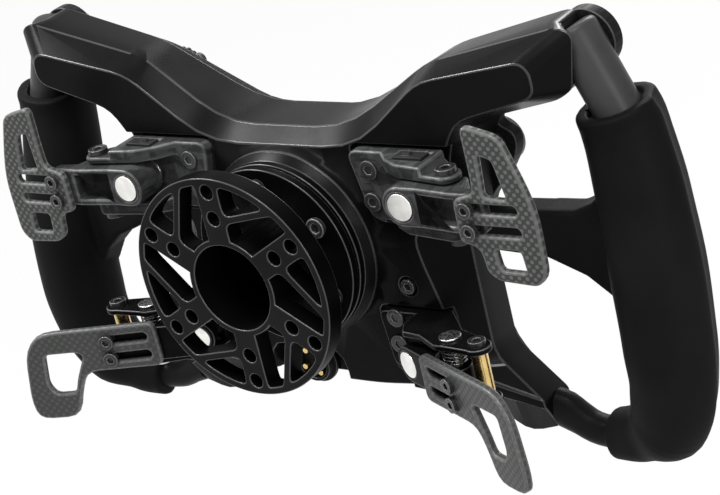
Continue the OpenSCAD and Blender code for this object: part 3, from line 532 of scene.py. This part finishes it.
class Palette:
    """All the materials of the wheel, made once each."""

    recipes: dict[Coat, Finish] = {
        # The edge finishes are lighter copies of their face finishes: painted highlights along broken edges.
        Coat.BODY: BlastedMetal((0.0042, 0.0042, 0.0043), 0.3, 0.05),
        Coat.BODY_EDGE: BlastedMetal((0.03, 0.03, 0.0305), 0.25, 0.35),
        Coat.HUB: BlastedMetal((0.0105, 0.0105, 0.0107), 0.32, 0.035),
        Coat.HUB_EDGE: BlastedMetal((0.045, 0.045, 0.046), 0.25, 0.4),
        # Painted shade: a darker copy of the hub finish for its bore and deep recesses.
        Coat.HUB_BORE: BlastedMetal((0.0022, 0.0022, 0.0023), 0.36, 0.012),
        # Painted light: a lighter copy of the black finish for the frame tube's upper bar.
        Coat.TUBE: BlastedMetal((0.046, 0.046, 0.047), 0.3, 0.08),
        Coat.GREY: BlastedMetal((0.12, 0.12, 0.125), 0.35, 0.4),
        Coat.RUBBER: Rubber((0.0068, 0.0068, 0.007)),
        Coat.CHOPPED: ChoppedCarbon((0.018, 0.018, 0.0185), (0.06, 0.061, 0.062)),
        Coat.CHOPPED_EDGE: ChoppedCarbon((0.045, 0.045, 0.046), (0.12, 0.12, 0.122), 0.34, 0.3),
        Coat.WEAVE: WovenCarbon((0.036, 0.038, 0.036), (0.125, 0.128, 0.125)),
        Coat.WEAVE_EDGE: WovenCarbon((0.09, 0.093, 0.09), (0.125, 0.128, 0.125), gloss=0.3),
        Coat.WEAVE_TURNED_LEFT: WovenCarbon((0.05, 0.052, 0.05), (0.08, 0.082, 0.08), turn=24),
        Coat.WEAVE_TURNED_RIGHT: WovenCarbon((0.05, 0.052, 0.05), (0.08, 0.082, 0.08), turn=-24),
        Coat.PLATE: WovenCarbon((0.008, 0.008, 0.0082), (0.014, 0.014, 0.0144), gloss=0.04, lacquer=0.0),
        Coat.PLATE_EDGE: BlastedMetal((0.06, 0.06, 0.061), 0.35, 0.15),
        Coat.PAINT: Lacquer((0.004, 0.004, 0.0042)),
        Coat.PAINT_EDGE: Lacquer((0.06, 0.06, 0.062), 0.25, 0.3),
        Coat.SCREW: BlastedMetal((0.02, 0.02, 0.0205), 0.28, 0.4, grain=5200),
        Coat.SCREW_EDGE: BlastedMetal((0.11, 0.11, 0.112), 0.25, 0.5, grain=5200),
        Coat.STEEL: DrawnMetal((0.72, 0.72, 0.71)),
        Coat.SPRING: DrawnMetal((0.2, 0.2, 0.2), 0.25),
        Coat.NICKEL: DrawnMetal((0.93, 0.92, 0.885), 0.34, (600, 600, 600)),
        Coat.BRASS: DrawnMetal((0.8, 0.58, 0.24), 0.22),
        Coat.PLASTIC: BlastedMetal((0.02, 0.02, 0.021), 0.5, 0.15, grain=3200),
        Coat.BOARD: BlastedMetal((0.02, 0.12, 0.07), 0.4, 0.4),
    }

    def __init__(self) -> None:
        """Makes every material of the wheel."""
        self.made = {coat: finish.make(coat.value) for coat, finish in self.recipes.items()}

    def __getitem__(self, coat: Coat) -> bpy.types.Material:
        """Looks up the material of a finish.

        Args:
            coat: The finish.

        Returns:
            Its material.
        """
        return self.made[coat]


@dataclass
class Workshop:
    """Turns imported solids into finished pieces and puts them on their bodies.

    Lengths are in millimetres and angles in degrees, but same_plane is in radians.
    """

    palette: Palette
    weld: float = 0.002
    flat: float = 0.4
    sliver: float = 0.03
    same_plane: float = 0.004
    long_edge: float = 12
    level: float = 0.05
    sharp: float = 40
    # wall_tilt and deep pick the walls and deep rear faces that take the painted shade.
    wall_tilt: float = 0.6
    deep: float = -10
    body_of: dict[str, str] = field(default_factory=dict)
    slot_of: dict[str, str] = field(default_factory=dict)

    def __post_init__(self) -> None:
        """Reads which body and which slot each solid has."""
        record = frame["record"]
        self.body_of = {n: b for b, nodes in record["behaviour"]["bodies"].items() for n in nodes}
        self.slot_of = {s["node"]: s["material_slot"] for s in record["subparts"]}

    def loose_copy(self, node: str) -> bmesh.types.BMesh:
        """Copies a solid's mesh and merges its loose triangles.

        Args:
            node: Name of the solid.

        Returns:
            The merged mesh.
        """
        bm = bmesh.new()
        bm.from_mesh(frame["nodes"][node].data)
        bmesh.ops.remove_doubles(bm, verts=bm.verts, dist=self.weld * MM)
        bmesh.ops.dissolve_limit(bm, angle_limit=math.radians(self.flat), verts=bm.verts, edges=bm.edges)
        bmesh.ops.dissolve_degenerate(bm, dist=self.sliver * MM, edges=bm.edges)
        return bm

    def hang(self, bm: bmesh.types.BMesh, node: str, coats: list[Coat], sharp: float) -> bpy.types.Object:
        """Makes an object from a mesh, in place of a solid.

        Args:
            bm: The finished mesh, which is freed.
            node: Name of the solid that the piece stands for.
            coats: Finishes by material index.
            sharp: Angle above which an edge is shaded sharp, in degrees.

        Returns:
            The piece.
        """
        mesh = bpy.data.meshes.new(f"{node}_piece")
        gaps = sum(not e.is_manifold for e in bm.edges)
        for face in bm.faces:
            face.smooth = True
        bm.to_mesh(mesh)
        bm.free()
        mesh.set_sharp_from_angle(angle=math.radians(sharp))
        for coat in coats:
            mesh.materials.append(self.palette[coat])
        piece = bpy.data.objects.new(f"{node}_piece", mesh)
        bpy.context.scene.collection.objects.link(piece)
        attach(piece, self.body_of[node])
        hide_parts(node)
        log.info("%s on %s, %d faces, %d open edges", piece.name, self.body_of[node], len(mesh.polygons), gaps)
        return piece

    def flat_regions(self, bm: bmesh.types.BMesh) -> list[list[bmesh.types.BMFace]]:
        """Finds flat regions that are split into several faces.

        Args:
            bm: The mesh to search.

        Returns:
            The faces of each region.
        """
        regions, seen = [], set()
        for start in bm.faces:
            if start in seen or start.material_index == Layer.EDGE:
                continue
            seen.add(start)
            region = [start]
            for face in region:
                for near in (f for e in face.edges for f in e.link_faces):
                    if near in seen or near.material_index != Layer.FACE:
                        continue
                    if near.normal.angle(start.normal, 1.0) < self.same_plane:
                        seen.add(near)
                        region.append(near)
            if len(region) > 1:
                regions.append(region)
        return regions

    def refill(self, bm: bmesh.types.BMesh) -> None:
        """Fills flat regions anew, so that no seam inside them crosses a broken edge.

        A triangle stays when a ray from its middle crosses the region's rim an odd number of times.

        Args:
            bm: The mesh to mend.
        """
        for region in self.flat_regions(bm):
            normal = region[0].normal.copy()
            across = normal.orthogonal().normalized()
            up = normal.cross(across)
            inside = set(region)
            rim = [e for f in region for e in f.edges if sum(g in inside for g in e.link_faces) == 1]
            verts = list({v: None for e in rim for v in e.verts})
            level = normal * verts[0].co.dot(normal)
            number = {v: i for i, v in enumerate(verts)}
            pairs = [tuple(number[v] for v in e.verts) for e in rim]
            flat = [Vector((v.co.dot(across), v.co.dot(up))) / MM for v in verts]
            sides = [(flat[i], flat[j]) for i, j in pairs]
            points, _, faces, source, _, _ = delaunay_2d_cdt(flat, pairs, [], 0, 1e-6)
            bmesh.ops.delete(bm, geom=region, context="FACES")
            corners = {}
            for face in faces:
                x, y = sum((points[i] for i in face), Vector((0, 0))) / 3
                hits = sum((a.y > y) != (b.y > y) and x < a.x + (b.x - a.x) * (y - a.y) / (b.y - a.y) for a, b in sides)
                if hits % 2 == 0:
                    continue
                for i in face:
                    if i not in corners:
                        old = source[i]
                        at = level + (across * points[i].x + up * points[i].y) * MM
                        corners[i] = verts[old[0]] if old else bm.verts.new(at)
                made = bm.faces.new([corners[i] for i in face])
                made.normal_update()
                if made.normal.dot(normal) < 0:
                    made.normal_flip()

    def line_bore(self, bm: bmesh.types.BMesh, radius: float) -> None:
        """Paints shade: the walls near the Y axis and the deep rear faces take the darker painted-shade slot.

        Args:
            bm: The mesh to mark.
            radius: Distance from the Y axis within which walls take the painted shade, in millimetres.
        """
        for face in bm.faces:
            middle = face.calc_center_median()
            # Walls near the axis and deep rear faces get the darker slot as painted shade.
            wall = abs(face.normal.y) < self.wall_tilt and math.hypot(middle.x, middle.z) < radius * MM
            deep = face.normal.y > self.wall_tilt and middle.y < self.deep * MM
            if (wall or deep) and face.material_index == Layer.FACE:
                face.material_index = Layer.BORE

    def edged(
        self, node: str, coat: Coat, edge: Coat, width: float, crease: float = 32, fold: float = 180,
        bore: Coat | None = None, bore_r: float = 0,
    ) -> bpy.types.Object:
        """Gives a solid broken edges with their own finish, lighter than the faces as a painted highlight.

        Args:
            node: Name of the solid.
            coat: Finish of its faces.
            edge: Finish of its broken edges; where it differs from the faces it is a lighter copy, a painted highlight.
            width: Width of the broken edges, in millimetres.
            crease: Least angle of an edge that is broken, in degrees.
            fold: The same for long edges across the Y axis, where two flat faces meet.
            bore: Darker finish, painted shade on the walls along the Y axis and on deep faces, or None for the same as
                the faces.
            bore_r: Radius about the Y axis within which walls take that painted shade, in millimetres.

        Returns:
            The piece.
        """
        bm = self.loose_copy(node)

        def broken(e: bmesh.types.BMEdge) -> bool:
            """Tells whether an edge is broken; inner corners stay sharp.

            Args:
                e: The edge.

            Returns:
                True for an outer edge that is sharp enough.
            """
            if not (e.is_manifold and e.is_convex):
                return False
            a, b = (v.co for v in e.verts)
            ring = (a - b).length > self.long_edge * MM and abs(a.y - b.y) < self.level * MM
            return e.calc_face_angle(0.0) > math.radians(min(fold, crease) if ring else crease)

        edges = [e for e in bm.edges if broken(e)]
        made = bmesh.ops.bevel(
            bm, geom=edges, offset=width * MM, offset_type="OFFSET", segments=2, profile=0.5,
            affect="EDGES", clamp_overlap=False, material=-1,
        )
        # The bevel faces take the lighter edge finish, a painted highlight.
        for face in made["faces"]:
            face.material_index = Layer.EDGE
        self.refill(bm)
        bmesh.ops.holes_fill(bm, edges=[e for e in bm.edges if e.is_boundary], sides=0)
        coats = [coat, edge]
        if bore:
            self.line_bore(bm, bore_r)
            coats.append(bore)
        piece = self.hang(bm, node, coats, self.sharp)
        weigh = piece.modifiers.new("flat_faces", "WEIGHTED_NORMAL")
        weigh.keep_sharp = True
        return piece


@dataclass
class Hub:
    """Turbine flange, tube, base disc and their screws."""

    shop: Workshop
    edge: float = 0.36
    bore_r: float = 41
    screw_edge: float = 0.4

    def build(self) -> None:
        """Dresses the hub and its screws."""
        # The hub's bore and deep recesses take a darker painted shade.
        self.shop.edged("hub_adapter", Coat.HUB, Coat.HUB_EDGE, self.edge, bore=Coat.HUB_BORE, bore_r=self.bore_r)
        self.shop.edged("hub_screws", Coat.SCREW, Coat.SCREW_EDGE, self.screw_edge)


@dataclass
class Housing:
    """Faceted body with its socket, board and small screws."""

    shop: Workshop
    edge: float = 0.45
    crease: float = 24
    fold: float = 7
    small_edge: float = 0.2

    def build(self) -> None:
        """Dresses the housing and what is screwed into it."""
        self.shop.edged("rear_housing", Coat.BODY, Coat.BODY_EDGE, self.edge, self.crease, self.fold)
        self.shop.edged("socket", Coat.HUB, Coat.HUB_EDGE, self.small_edge)
        self.shop.edged("socket_pins", Coat.BRASS, Coat.BRASS, self.small_edge)
        self.shop.edged("circuit_board", Coat.BOARD, Coat.BOARD, self.small_edge)
        for node in ("cover_screws", "grip_frame_screws", "shifter_bracket_screws", "clutch_bracket_screws"):
            self.shop.edged(node, Coat.SCREW, Coat.SCREW_EDGE, self.small_edge)


@dataclass
class FrontPanel:
    """Front plate with its buttons, dials and screws."""

    shop: Workshop
    edge: float = 0.4
    cap_edge: float = 0.7
    small_edge: float = 0.2
    dial_crease: float = 50

    def build(self) -> None:
        """Dresses the plate and its controls."""
        self.shop.edged("front_plate", Coat.PLATE, Coat.PLATE_EDGE, self.edge)
        self.shop.edged("plate_screws", Coat.SCREW, Coat.SCREW_EDGE, self.small_edge)
        self.shop.edged("button_bezels", Coat.GREY, Coat.GREY, self.edge)
        self.shop.edged("button_switches", Coat.PLASTIC, Coat.PLASTIC, self.small_edge)
        self.shop.edged("dial_encoders", Coat.PLASTIC, Coat.PLASTIC, self.small_edge)
        for side in Side:
            for place in ("top", "thumb", "inner", "lower"):
                self.shop.edged(f"button_{place}_{side.word}", Coat.PLASTIC, Coat.PLASTIC, self.cap_edge)
            for place in ("upper", "lower"):
                dial = f"dial_{place}_{side.word}"
                self.shop.edged(dial, Coat.PLASTIC, Coat.PLASTIC, self.small_edge, self.dial_crease)


@dataclass
class Grip:
    """Frame tube and rubber grip of one side, sized in millimetres for the right hand."""

    shop: Workshop
    side: Side
    spine: tuple[Point, ...] = (
        (122.8, -58.9, 54.5), (123, -59.5, 45.5), (124.4, -61, 36), (127.6, -59.1, 14), (130, -56, -10),
        (130.8, -53.7, -34), (129.4, -53.5, -51), (124, -54.9, -64.4), (113, -56.7, -71.6), (101.5, -57.5, -74),
        (93, -57.7, -73.2),
    )
    widths: tuple[float, ...] = (26.4, 27.6, 29.6, 31, 30.2, 28.4, 26.6, 19.4, 17.2)
    mouth: float = 18.4
    collar: float = 14.8
    lean: float = 0.06
    lean_fade: float = 3
    probe: float = 0.04
    post: tuple[Point, Point] = ((125.6, -59.4, 39), (112.3, -59.4, 70.8))
    post_r: float = 8
    post_round: float = 2
    post_cut: float = 42
    post_sides: int = 72
    steps: int = 6
    sides: int = 96
    ridge: float = 0.06
    crest_rear: float = 0.4
    crest_front: float = 0.1
    hollow_at: float = 0.4
    hollow_spread: float = 0.28
    squareness: float = 2.2
    lug_depth: tuple[float, float] = (-64.6, -52.6)
    lug: tuple[tuple[float, float], ...] = (
        (65.8, 7.7), (103, 9.6), (110, 12.5), (118, 19.5), (122, 8), (122, -20), (118, -28.5), (112, -20),
        (104, -13.6), (90, -7.9), (65.8, -6.5),
    )
    lug_round: float = 2.2
    voxel: float = 0.6
    soft: float = 0.5
    soft_rounds: int = 4
    tube_sharp: float = 34
    grip_sharp: float = 80

    def point(self, k: float) -> Vector:
        """Finds a point of a smooth curve through the spine.

        Args:
            k: Step along the spine.

        Returns:
            The point.
        """
        i = min(int(k), len(self.spine) - 4)
        f = k - i
        a, b, c, d = (Vector(p) for p in self.spine[i : i + 4])
        return (2 * b + (c - a) * f + (2 * a - 5 * b + 4 * c - d) * f**2 + (3 * b - a - 3 * c + d) * f**3) / 2

    def width(self, k: float) -> float:
        """Finds the width of the grip.

        Args:
            k: Step along the spine.

        Returns:
            The width.
        """
        i = min(int(k), len(self.widths) - 2)
        f = k - i
        f = f * f * (3 - 2 * f)
        return self.widths[i] * (1 - f) + self.widths[i + 1] * f

    def station(self, k: float, width: float) -> Matrix:
        """Gives the place, turn and size of a ring across the spine.

        Args:
            k: Step along the spine.
            width: Width of the ring.

        Returns:
            A matrix whose X axis points out and Y axis points to the rear.
        """
        way = (self.point(k + self.probe) - self.point(max(k - self.probe, 0))).normalized()
        out = way.cross(Vector((0, 1, 0))).normalized()
        rear = out.cross(way)
        out = out - way * self.lean * max(0.0, 1 - self.lean_fade * k)
        turn = Matrix((out, rear, way)).transposed().to_4x4()
        return Matrix.Translation(self.point(k)) @ turn @ Matrix.Scale(width / 2, 4)

    def swell(self, x: float, y: float) -> float:
        """Gives the section's form: a ridge along the outer side with a hollow in front of it.

        Args:
            x: Outward share of a point on the unit circle.
            y: Rearward share of that point.

        Returns:
            A factor for the radius.
        """
        angle = math.atan2(y, x)
        crest = math.exp(-((angle / (self.crest_rear if angle > 0 else self.crest_front)) ** 2))
        hollow = math.exp(-(((angle + self.hollow_at) / self.hollow_spread) ** 2))
        square = (abs(x) ** self.squareness + abs(y) ** self.squareness) ** (-1 / self.squareness)
        return square * (1 + self.ridge * (crest - hollow))

    def sleeve(self) -> bmesh.types.BMesh:
        """Lofts the sleeve along the spine.

        Returns:
            A closed mesh in millimetres.
        """
        last = len(self.widths) - 1
        # The bore of the mouth, its rounded lip, the body and the rounded end at the collar.
        stops = [(0.3, self.mouth), (0.0, self.mouth)]
        stops += [(0.0, self.widths[0] - 1.8), (0.02, self.widths[0] - 0.8), (0.05, self.widths[0] - 0.2)]
        stops += [(k / self.steps, self.width(k / self.steps)) for k in range(1, last * self.steps)]
        stops += [(last - 0.06, self.widths[last]), (last - 0.02, self.widths[last] - 0.8), (last, self.collar)]
        bm = bmesh.new()
        here = self.station(*stops[0])
        verts = bmesh.ops.create_circle(bm, segments=self.sides, radius=1, matrix=here)["verts"]
        edges = list({e for v in verts for e in v.link_edges})
        rings = [(verts, here)]
        for k, width in stops[1:]:
            grown = bmesh.ops.extrude_edge_only(bm, edges=edges)["geom"]
            verts = [v for v in grown if isinstance(v, bmesh.types.BMVert)]
            there = self.station(k, width)
            bmesh.ops.transform(bm, matrix=there @ here.inverted(), verts=verts)
            edges = [e for e in grown if isinstance(e, bmesh.types.BMEdge)]
            here = there
            rings.append((verts, here))
        for verts, station in rings:
            back = station.inverted()
            for v in verts:
                at = back @ v.co
                v.co = station @ (at * self.swell(at.x, at.y))
        bmesh.ops.holes_fill(bm, edges=bm.edges, sides=0)
        return bm

    def add_lug(self, bm: bmesh.types.BMesh) -> None:
        """Adds the lug that reaches to the housing.

        Args:
            bm: The mesh to add to, in millimetres.
        """
        front, rear = self.lug_depth
        face = bm.faces.new([bm.verts.new((x, front, z)) for x, z in self.lug])
        grown = bmesh.ops.extrude_face_region(bm, geom=[face])["geom"]
        verts = [v for v in grown if isinstance(v, bmesh.types.BMVert)]
        bmesh.ops.translate(bm, vec=(0, rear - front, 0), verts=verts)
        edges = list({e for v in verts for e in v.link_edges if e.other_vert(v) in verts})
        bmesh.ops.bevel(
            bm, geom=edges, offset=self.lug_round, offset_type="OFFSET", segments=3, profile=0.5,
            affect="EDGES", material=-1,
        )

    def melted(self, bm: bmesh.types.BMesh) -> bmesh.types.BMesh:
        """Melts sleeve and lug into one moulding with soft blends.

        Args:
            bm: The two shells, in millimetres for the right hand, which are freed.

        Returns:
            The moulding in metres, on its own side.
        """
        bmesh.ops.recalc_face_normals(bm, faces=bm.faces)
        bmesh.ops.scale(bm, vec=(self.side.value * MM, MM, MM), verts=bm.verts)
        bmesh.ops.recalc_face_normals(bm, faces=bm.faces)
        mesh = bpy.data.meshes.new("moulding")
        bm.to_mesh(mesh)
        bm.free()
        work = bpy.data.objects.new("moulding", mesh)
        bpy.context.scene.collection.objects.link(work)
        remesh = work.modifiers.new("voxels", "REMESH")
        remesh.mode = "VOXEL"
        remesh.voxel_size = self.voxel * MM
        smooth = work.modifiers.new("soft", "SMOOTH")
        smooth.factor = self.soft
        smooth.iterations = self.soft_rounds
        shown = work.evaluated_get(bpy.context.evaluated_depsgraph_get())
        baked = bpy.data.meshes.new_from_object(shown)
        done = bmesh.new()
        done.from_mesh(baked)
        bpy.data.objects.remove(work)
        for used in (mesh, baked):
            bpy.data.meshes.remove(used)
        return done

    def add_post(self, tube: bmesh.types.BMesh) -> None:
        """Draws the elbow of the frame tube as a straight bar that leans into the arm, painted lighter than the rest as
        painted light.

        Args:
            tube: The copied tube, whose faces above the cut are taken away.
        """
        high = [f for f in tube.faces if f.calc_center_median().z > self.post_cut * MM]
        bmesh.ops.delete(tube, geom=high, context="FACES")
        bmesh.ops.holes_fill(tube, edges=tube.edges, sides=0)
        old = set(tube.faces)
        foot, head = (Vector((self.side.value * x, y, z)) * MM for x, y, z in self.post)
        turn = (head - foot).to_track_quat("Z", "Y").to_matrix().to_4x4()
        radius = self.post_r * MM
        verts = bmesh.ops.create_cone(
            tube, cap_ends=True, segments=self.post_sides, radius1=radius, radius2=radius, depth=(head - foot).length,
            matrix=Matrix.Translation((foot + head) / 2) @ turn,
        )["verts"]
        near = {v for v in verts if (v.co - head).length < (v.co - foot).length}
        rim = {e for v in near for e in v.link_edges if e.other_vert(v) in near}
        bmesh.ops.bevel(
            tube, geom=list(rim), offset=self.post_round * MM, offset_type="OFFSET", segments=4, profile=0.5,
            affect="EDGES", material=-1,
        )
        # The bar takes the lighter slot as painted light; the rest of the tube keeps the darker hub finish.
        for face in tube.faces:
            face.material_index = Layer.FACE if face in old else Layer.EDGE

    def build(self) -> None:
        """Dresses the tube and moulds the grip."""
        word = self.side.word
        tube = self.shop.loose_copy(f"grip_frame_{word}")
        self.add_post(tube)
        # The tube's upper bar wears the lighter finish, painted light.
        self.shop.hang(tube, f"grip_frame_{word}", [Coat.HUB, Coat.TUBE], self.tube_sharp)
        bm = self.sleeve()
        self.add_lug(bm)
        self.shop.hang(self.melted(bm), f"grip_{word}", [Coat.RUBBER], self.grip_sharp)


@dataclass
class ShiftPaddle:
    """Bracket, lever, magnet, blade and bolts of one shift paddle."""

    shop: Workshop
    side: Side
    edge: float = 0.8
    blade_edge: float = 0.9
    magnet_edge: float = 0.2
    bolt_edge: float = 0.25

    def build(self) -> None:
        """Dresses the shift paddle."""
        word = self.side.word
        self.shop.edged(f"shifter_bracket_{word}", Coat.CHOPPED, Coat.CHOPPED_EDGE, self.edge)
        self.shop.edged(f"shifter_lever_{word}", Coat.CHOPPED, Coat.CHOPPED_EDGE, self.edge)
        self.shop.edged(f"shifter_magnet_{word}", Coat.NICKEL, Coat.NICKEL, self.magnet_edge)
        self.shop.edged(f"shifter_blade_{word}", Coat.WEAVE, Coat.WEAVE_EDGE, self.blade_edge)
        self.shop.edged(f"shifter_bolts_{word}", Coat.SCREW, Coat.SCREW_EDGE, self.bolt_edge)


@dataclass
class ClutchPaddle:
    """Bracket, lever, spring, blade and bolts of one clutch paddle."""

    shop: Workshop
    side: Side
    edge: float = 0.35
    blade_edge: float = 0.9
    magnet_edge: float = 0.2
    bolt_edge: float = 0.25
    spring_sharp: float = 70

    def build(self) -> None:
        """Dresses the clutch paddle."""
        word = self.side.word
        weave = Coat.WEAVE_TURNED_LEFT if self.side is Side.LEFT else Coat.WEAVE_TURNED_RIGHT
        self.shop.edged(f"clutch_bracket_{word}", Coat.PAINT, Coat.PAINT_EDGE, self.edge)
        self.shop.edged(f"clutch_lever_{word}", Coat.PAINT, Coat.PAINT_EDGE, self.edge)
        self.shop.edged(f"clutch_magnet_{word}", Coat.NICKEL, Coat.NICKEL, self.magnet_edge)
        self.shop.edged(f"clutch_blade_{word}", weave, Coat.WEAVE_EDGE, self.blade_edge)
        self.shop.edged(f"clutch_bolts_{word}", Coat.SCREW, Coat.SCREW_EDGE, self.bolt_edge)
        spring = f"clutch_spring_{word}"
        self.shop.hang(self.shop.loose_copy(spring), spring, [Coat.SPRING], self.spring_sharp)


@dataclass
class PaddleHardware:
    """Pins, spacers, keepers, switches and sensors that both sides share."""

    shop: Workshop
    edge: float = 0.25

    def build(self) -> None:
        """Dresses the shared hardware."""
        dress = (
            ("shifter_pivots", Coat.SCREW, Coat.SCREW_EDGE),
            ("shifter_keepers", Coat.NICKEL, Coat.NICKEL),
            ("shifter_switches", Coat.PLASTIC, Coat.PLASTIC),
            ("clutch_pivots", Coat.STEEL, Coat.STEEL),
            ("clutch_spacers", Coat.BRASS, Coat.BRASS),
            ("clutch_spacer_screws", Coat.SCREW, Coat.SCREW_EDGE),
            ("clutch_sensors", Coat.PLASTIC, Coat.PLASTIC),
        )
        for node, coat, edge in dress:
            self.shop.edged(node, coat, edge, self.edge)


@dataclass(frozen=True)
class Lamp:
    """A soft square lamp, in metres and watts."""

    name: str
    place: Point
    target: Point
    size: float
    power: float

    def build(self) -> None:
        """Adds the lamp to the scene."""
        data = bpy.data.lights.new(self.name, "AREA")
        data.size = self.size
        data.energy = self.power
        lamp = bpy.data.objects.new(self.name, data)
        lamp.location = self.place
        lamp.rotation_mode = "QUATERNION"
        lamp.rotation_quaternion = (Vector(self.target) - Vector(self.place)).to_track_quat("-Z", "Y")
        bpy.context.scene.collection.objects.link(lamp)


@dataclass
class Studio:
    """Floor, backdrop, lamps and camera, in metres."""

    lens: float = 111.32
    sensor: float = 36
    clip: tuple[float, float] = (0.05, 20)
    eye: Point = (-0.48094, 0.48564, 0.28449)
    right: Point = (-0.79248, -0.57010, -0.21670)
    up: Point = (0.06588, -0.43325, 0.89886)
    back: Point = (-0.60632, 0.69806, 0.38090)
    floor_z: float = -0.26
    floor_r: float = 4.0
    floor_grey: float = 0.86
    floor_glow: float = 0.96
    ambient: float = 0.12
    lamps: tuple[Lamp, ...] = (
        Lamp("top", (-0.2, 0.3, 0.87), (0, -0.04, 0.02), 0.35, 7.0),
        Lamp("fill", (-0.85, 0.35, 0.3), (0, -0.05, 0.0), 0.35, 3.5),
        Lamp("front", (0.25, -0.95, 0.5), (0, -0.06, 0.0), 0.5, 5.0),
        Lamp("rim", (0.45, 0.12, 0.55), (0, -0.04, 0.02), 0.22, 5.5),
    )

    def build(self) -> None:
        """Sets up the whole studio."""
        scene = bpy.context.scene
        scene.view_settings.view_transform = "Standard"
        self.camera(scene)
        self.world(scene)
        self.floor(scene)
        for lamp in self.lamps:
            lamp.build()

    def camera(self, scene: bpy.types.Scene) -> None:
        """Puts the camera where the photograph was taken.

        Args:
            scene: The scene to add to.
        """
        data = bpy.data.cameras.new("camera")
        data.lens = self.lens
        data.sensor_width = self.sensor
        data.clip_start, data.clip_end = self.clip
        turn = Matrix((self.right, self.up, self.back)).transposed().to_4x4()
        camera = bpy.data.objects.new("camera", data)
        camera.matrix_world = Matrix.Translation(self.eye) @ turn
        scene.collection.objects.link(camera)
        scene.camera = camera

    def seen(self, tree: bpy.types.NodeTree) -> bpy.types.NodeSocket:
        """Adds a value that is 1 for camera, mirror and glass rays.

        Args:
            tree: The node tree to add to.

        Returns:
            The value.
        """
        path = tree.nodes.new("ShaderNodeLightPath")
        value = path.outputs["Is Camera Ray"]
        for key in ("Is Glossy Ray", "Is Transmission Ray"):
            most = tree.nodes.new("ShaderNodeMath")
            most.operation = "MAXIMUM"
            tree.links.new(value, most.inputs[0])
            tree.links.new(path.outputs[key], most.inputs[1])
            value = most.outputs[0]
        return value

    def world(self, scene: bpy.types.Scene) -> None:
        """Makes a white backdrop that lights the wheel at a plain level.

        Args:
            scene: The scene to add to.
        """
        world = bpy.data.worlds.new("backdrop")
        scene.world = world
        world.use_nodes = True
        tree = world.node_tree
        tree.nodes.clear()
        out = tree.nodes.new("ShaderNodeOutputWorld")
        kinds = ("ShaderNodeBackground", "ShaderNodeBackground", "ShaderNodeMixShader")
        shown, light, mix = (tree.nodes.new(kind) for kind in kinds)
        shown.inputs["Color"].default_value = (1, 1, 1, 1)
        light.inputs["Color"].default_value = (1, 1, 1, 1)
        light.inputs["Strength"].default_value = self.ambient
        tree.links.new(self.seen(tree), mix.inputs["Fac"])
        tree.links.new(light.outputs[0], mix.inputs[1])
        tree.links.new(shown.outputs[0], mix.inputs[2])
        tree.links.new(mix.outputs[0], out.inputs["Surface"])

    def floor(self, scene: bpy.types.Scene) -> None:
        """Lays a plain pale floor below the wheel.

        Args:
            scene: The scene to add to.
        """
        bm = bmesh.new()
        place = Matrix.Translation((0, 0, self.floor_z))
        bmesh.ops.create_circle(bm, cap_ends=True, segments=64, radius=self.floor_r, matrix=place)
        mesh = bpy.data.meshes.new("floor")
        bm.to_mesh(mesh)
        bm.free()
        floor = bpy.data.objects.new("floor", mesh)
        scene.collection.objects.link(floor)
        material = bpy.data.materials.new("floor_white")
        material.use_nodes = True
        tree = material.node_tree
        tree.nodes.clear()
        kinds = ("ShaderNodeOutputMaterial", "ShaderNodeBsdfDiffuse", "ShaderNodeEmission", "ShaderNodeMixShader")
        out, matt, glow, mix = (tree.nodes.new(kind) for kind in kinds)
        matt.inputs["Color"].default_value = (self.floor_grey, self.floor_grey, self.floor_grey, 1)
        glow_share = tree.nodes.new("ShaderNodeMath")
        glow_share.operation = "MULTIPLY"
        glow_share.inputs[1].default_value = self.floor_glow
        tree.links.new(self.seen(tree), glow_share.inputs[0])
        tree.links.new(glow_share.outputs[0], mix.inputs["Fac"])
        tree.links.new(matt.outputs[0], mix.inputs[1])
        tree.links.new(glow.outputs[0], mix.inputs[2])
        tree.links.new(mix.outputs[0], out.inputs["Surface"])
        mesh.materials.append(material)


def main() -> None:
    """Builds the studio and dresses the wheel, sub-assembly by sub-assembly."""
    logging.basicConfig(level=logging.INFO, format="%(message)s")
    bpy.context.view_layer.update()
    Studio().build()
    shop = Workshop(Palette())
    assemblies = [Hub(shop), Housing(shop), FrontPanel(shop), PaddleHardware(shop)]
    for side in Side:
        assemblies += [Grip(shop, side), ShiftPaddle(shop, side), ClutchPaddle(shop, side)]
    for assembly in assemblies:
        assembly.build()
    bpy.context.view_layer.update()


if __name__ == "__main__":
    main()
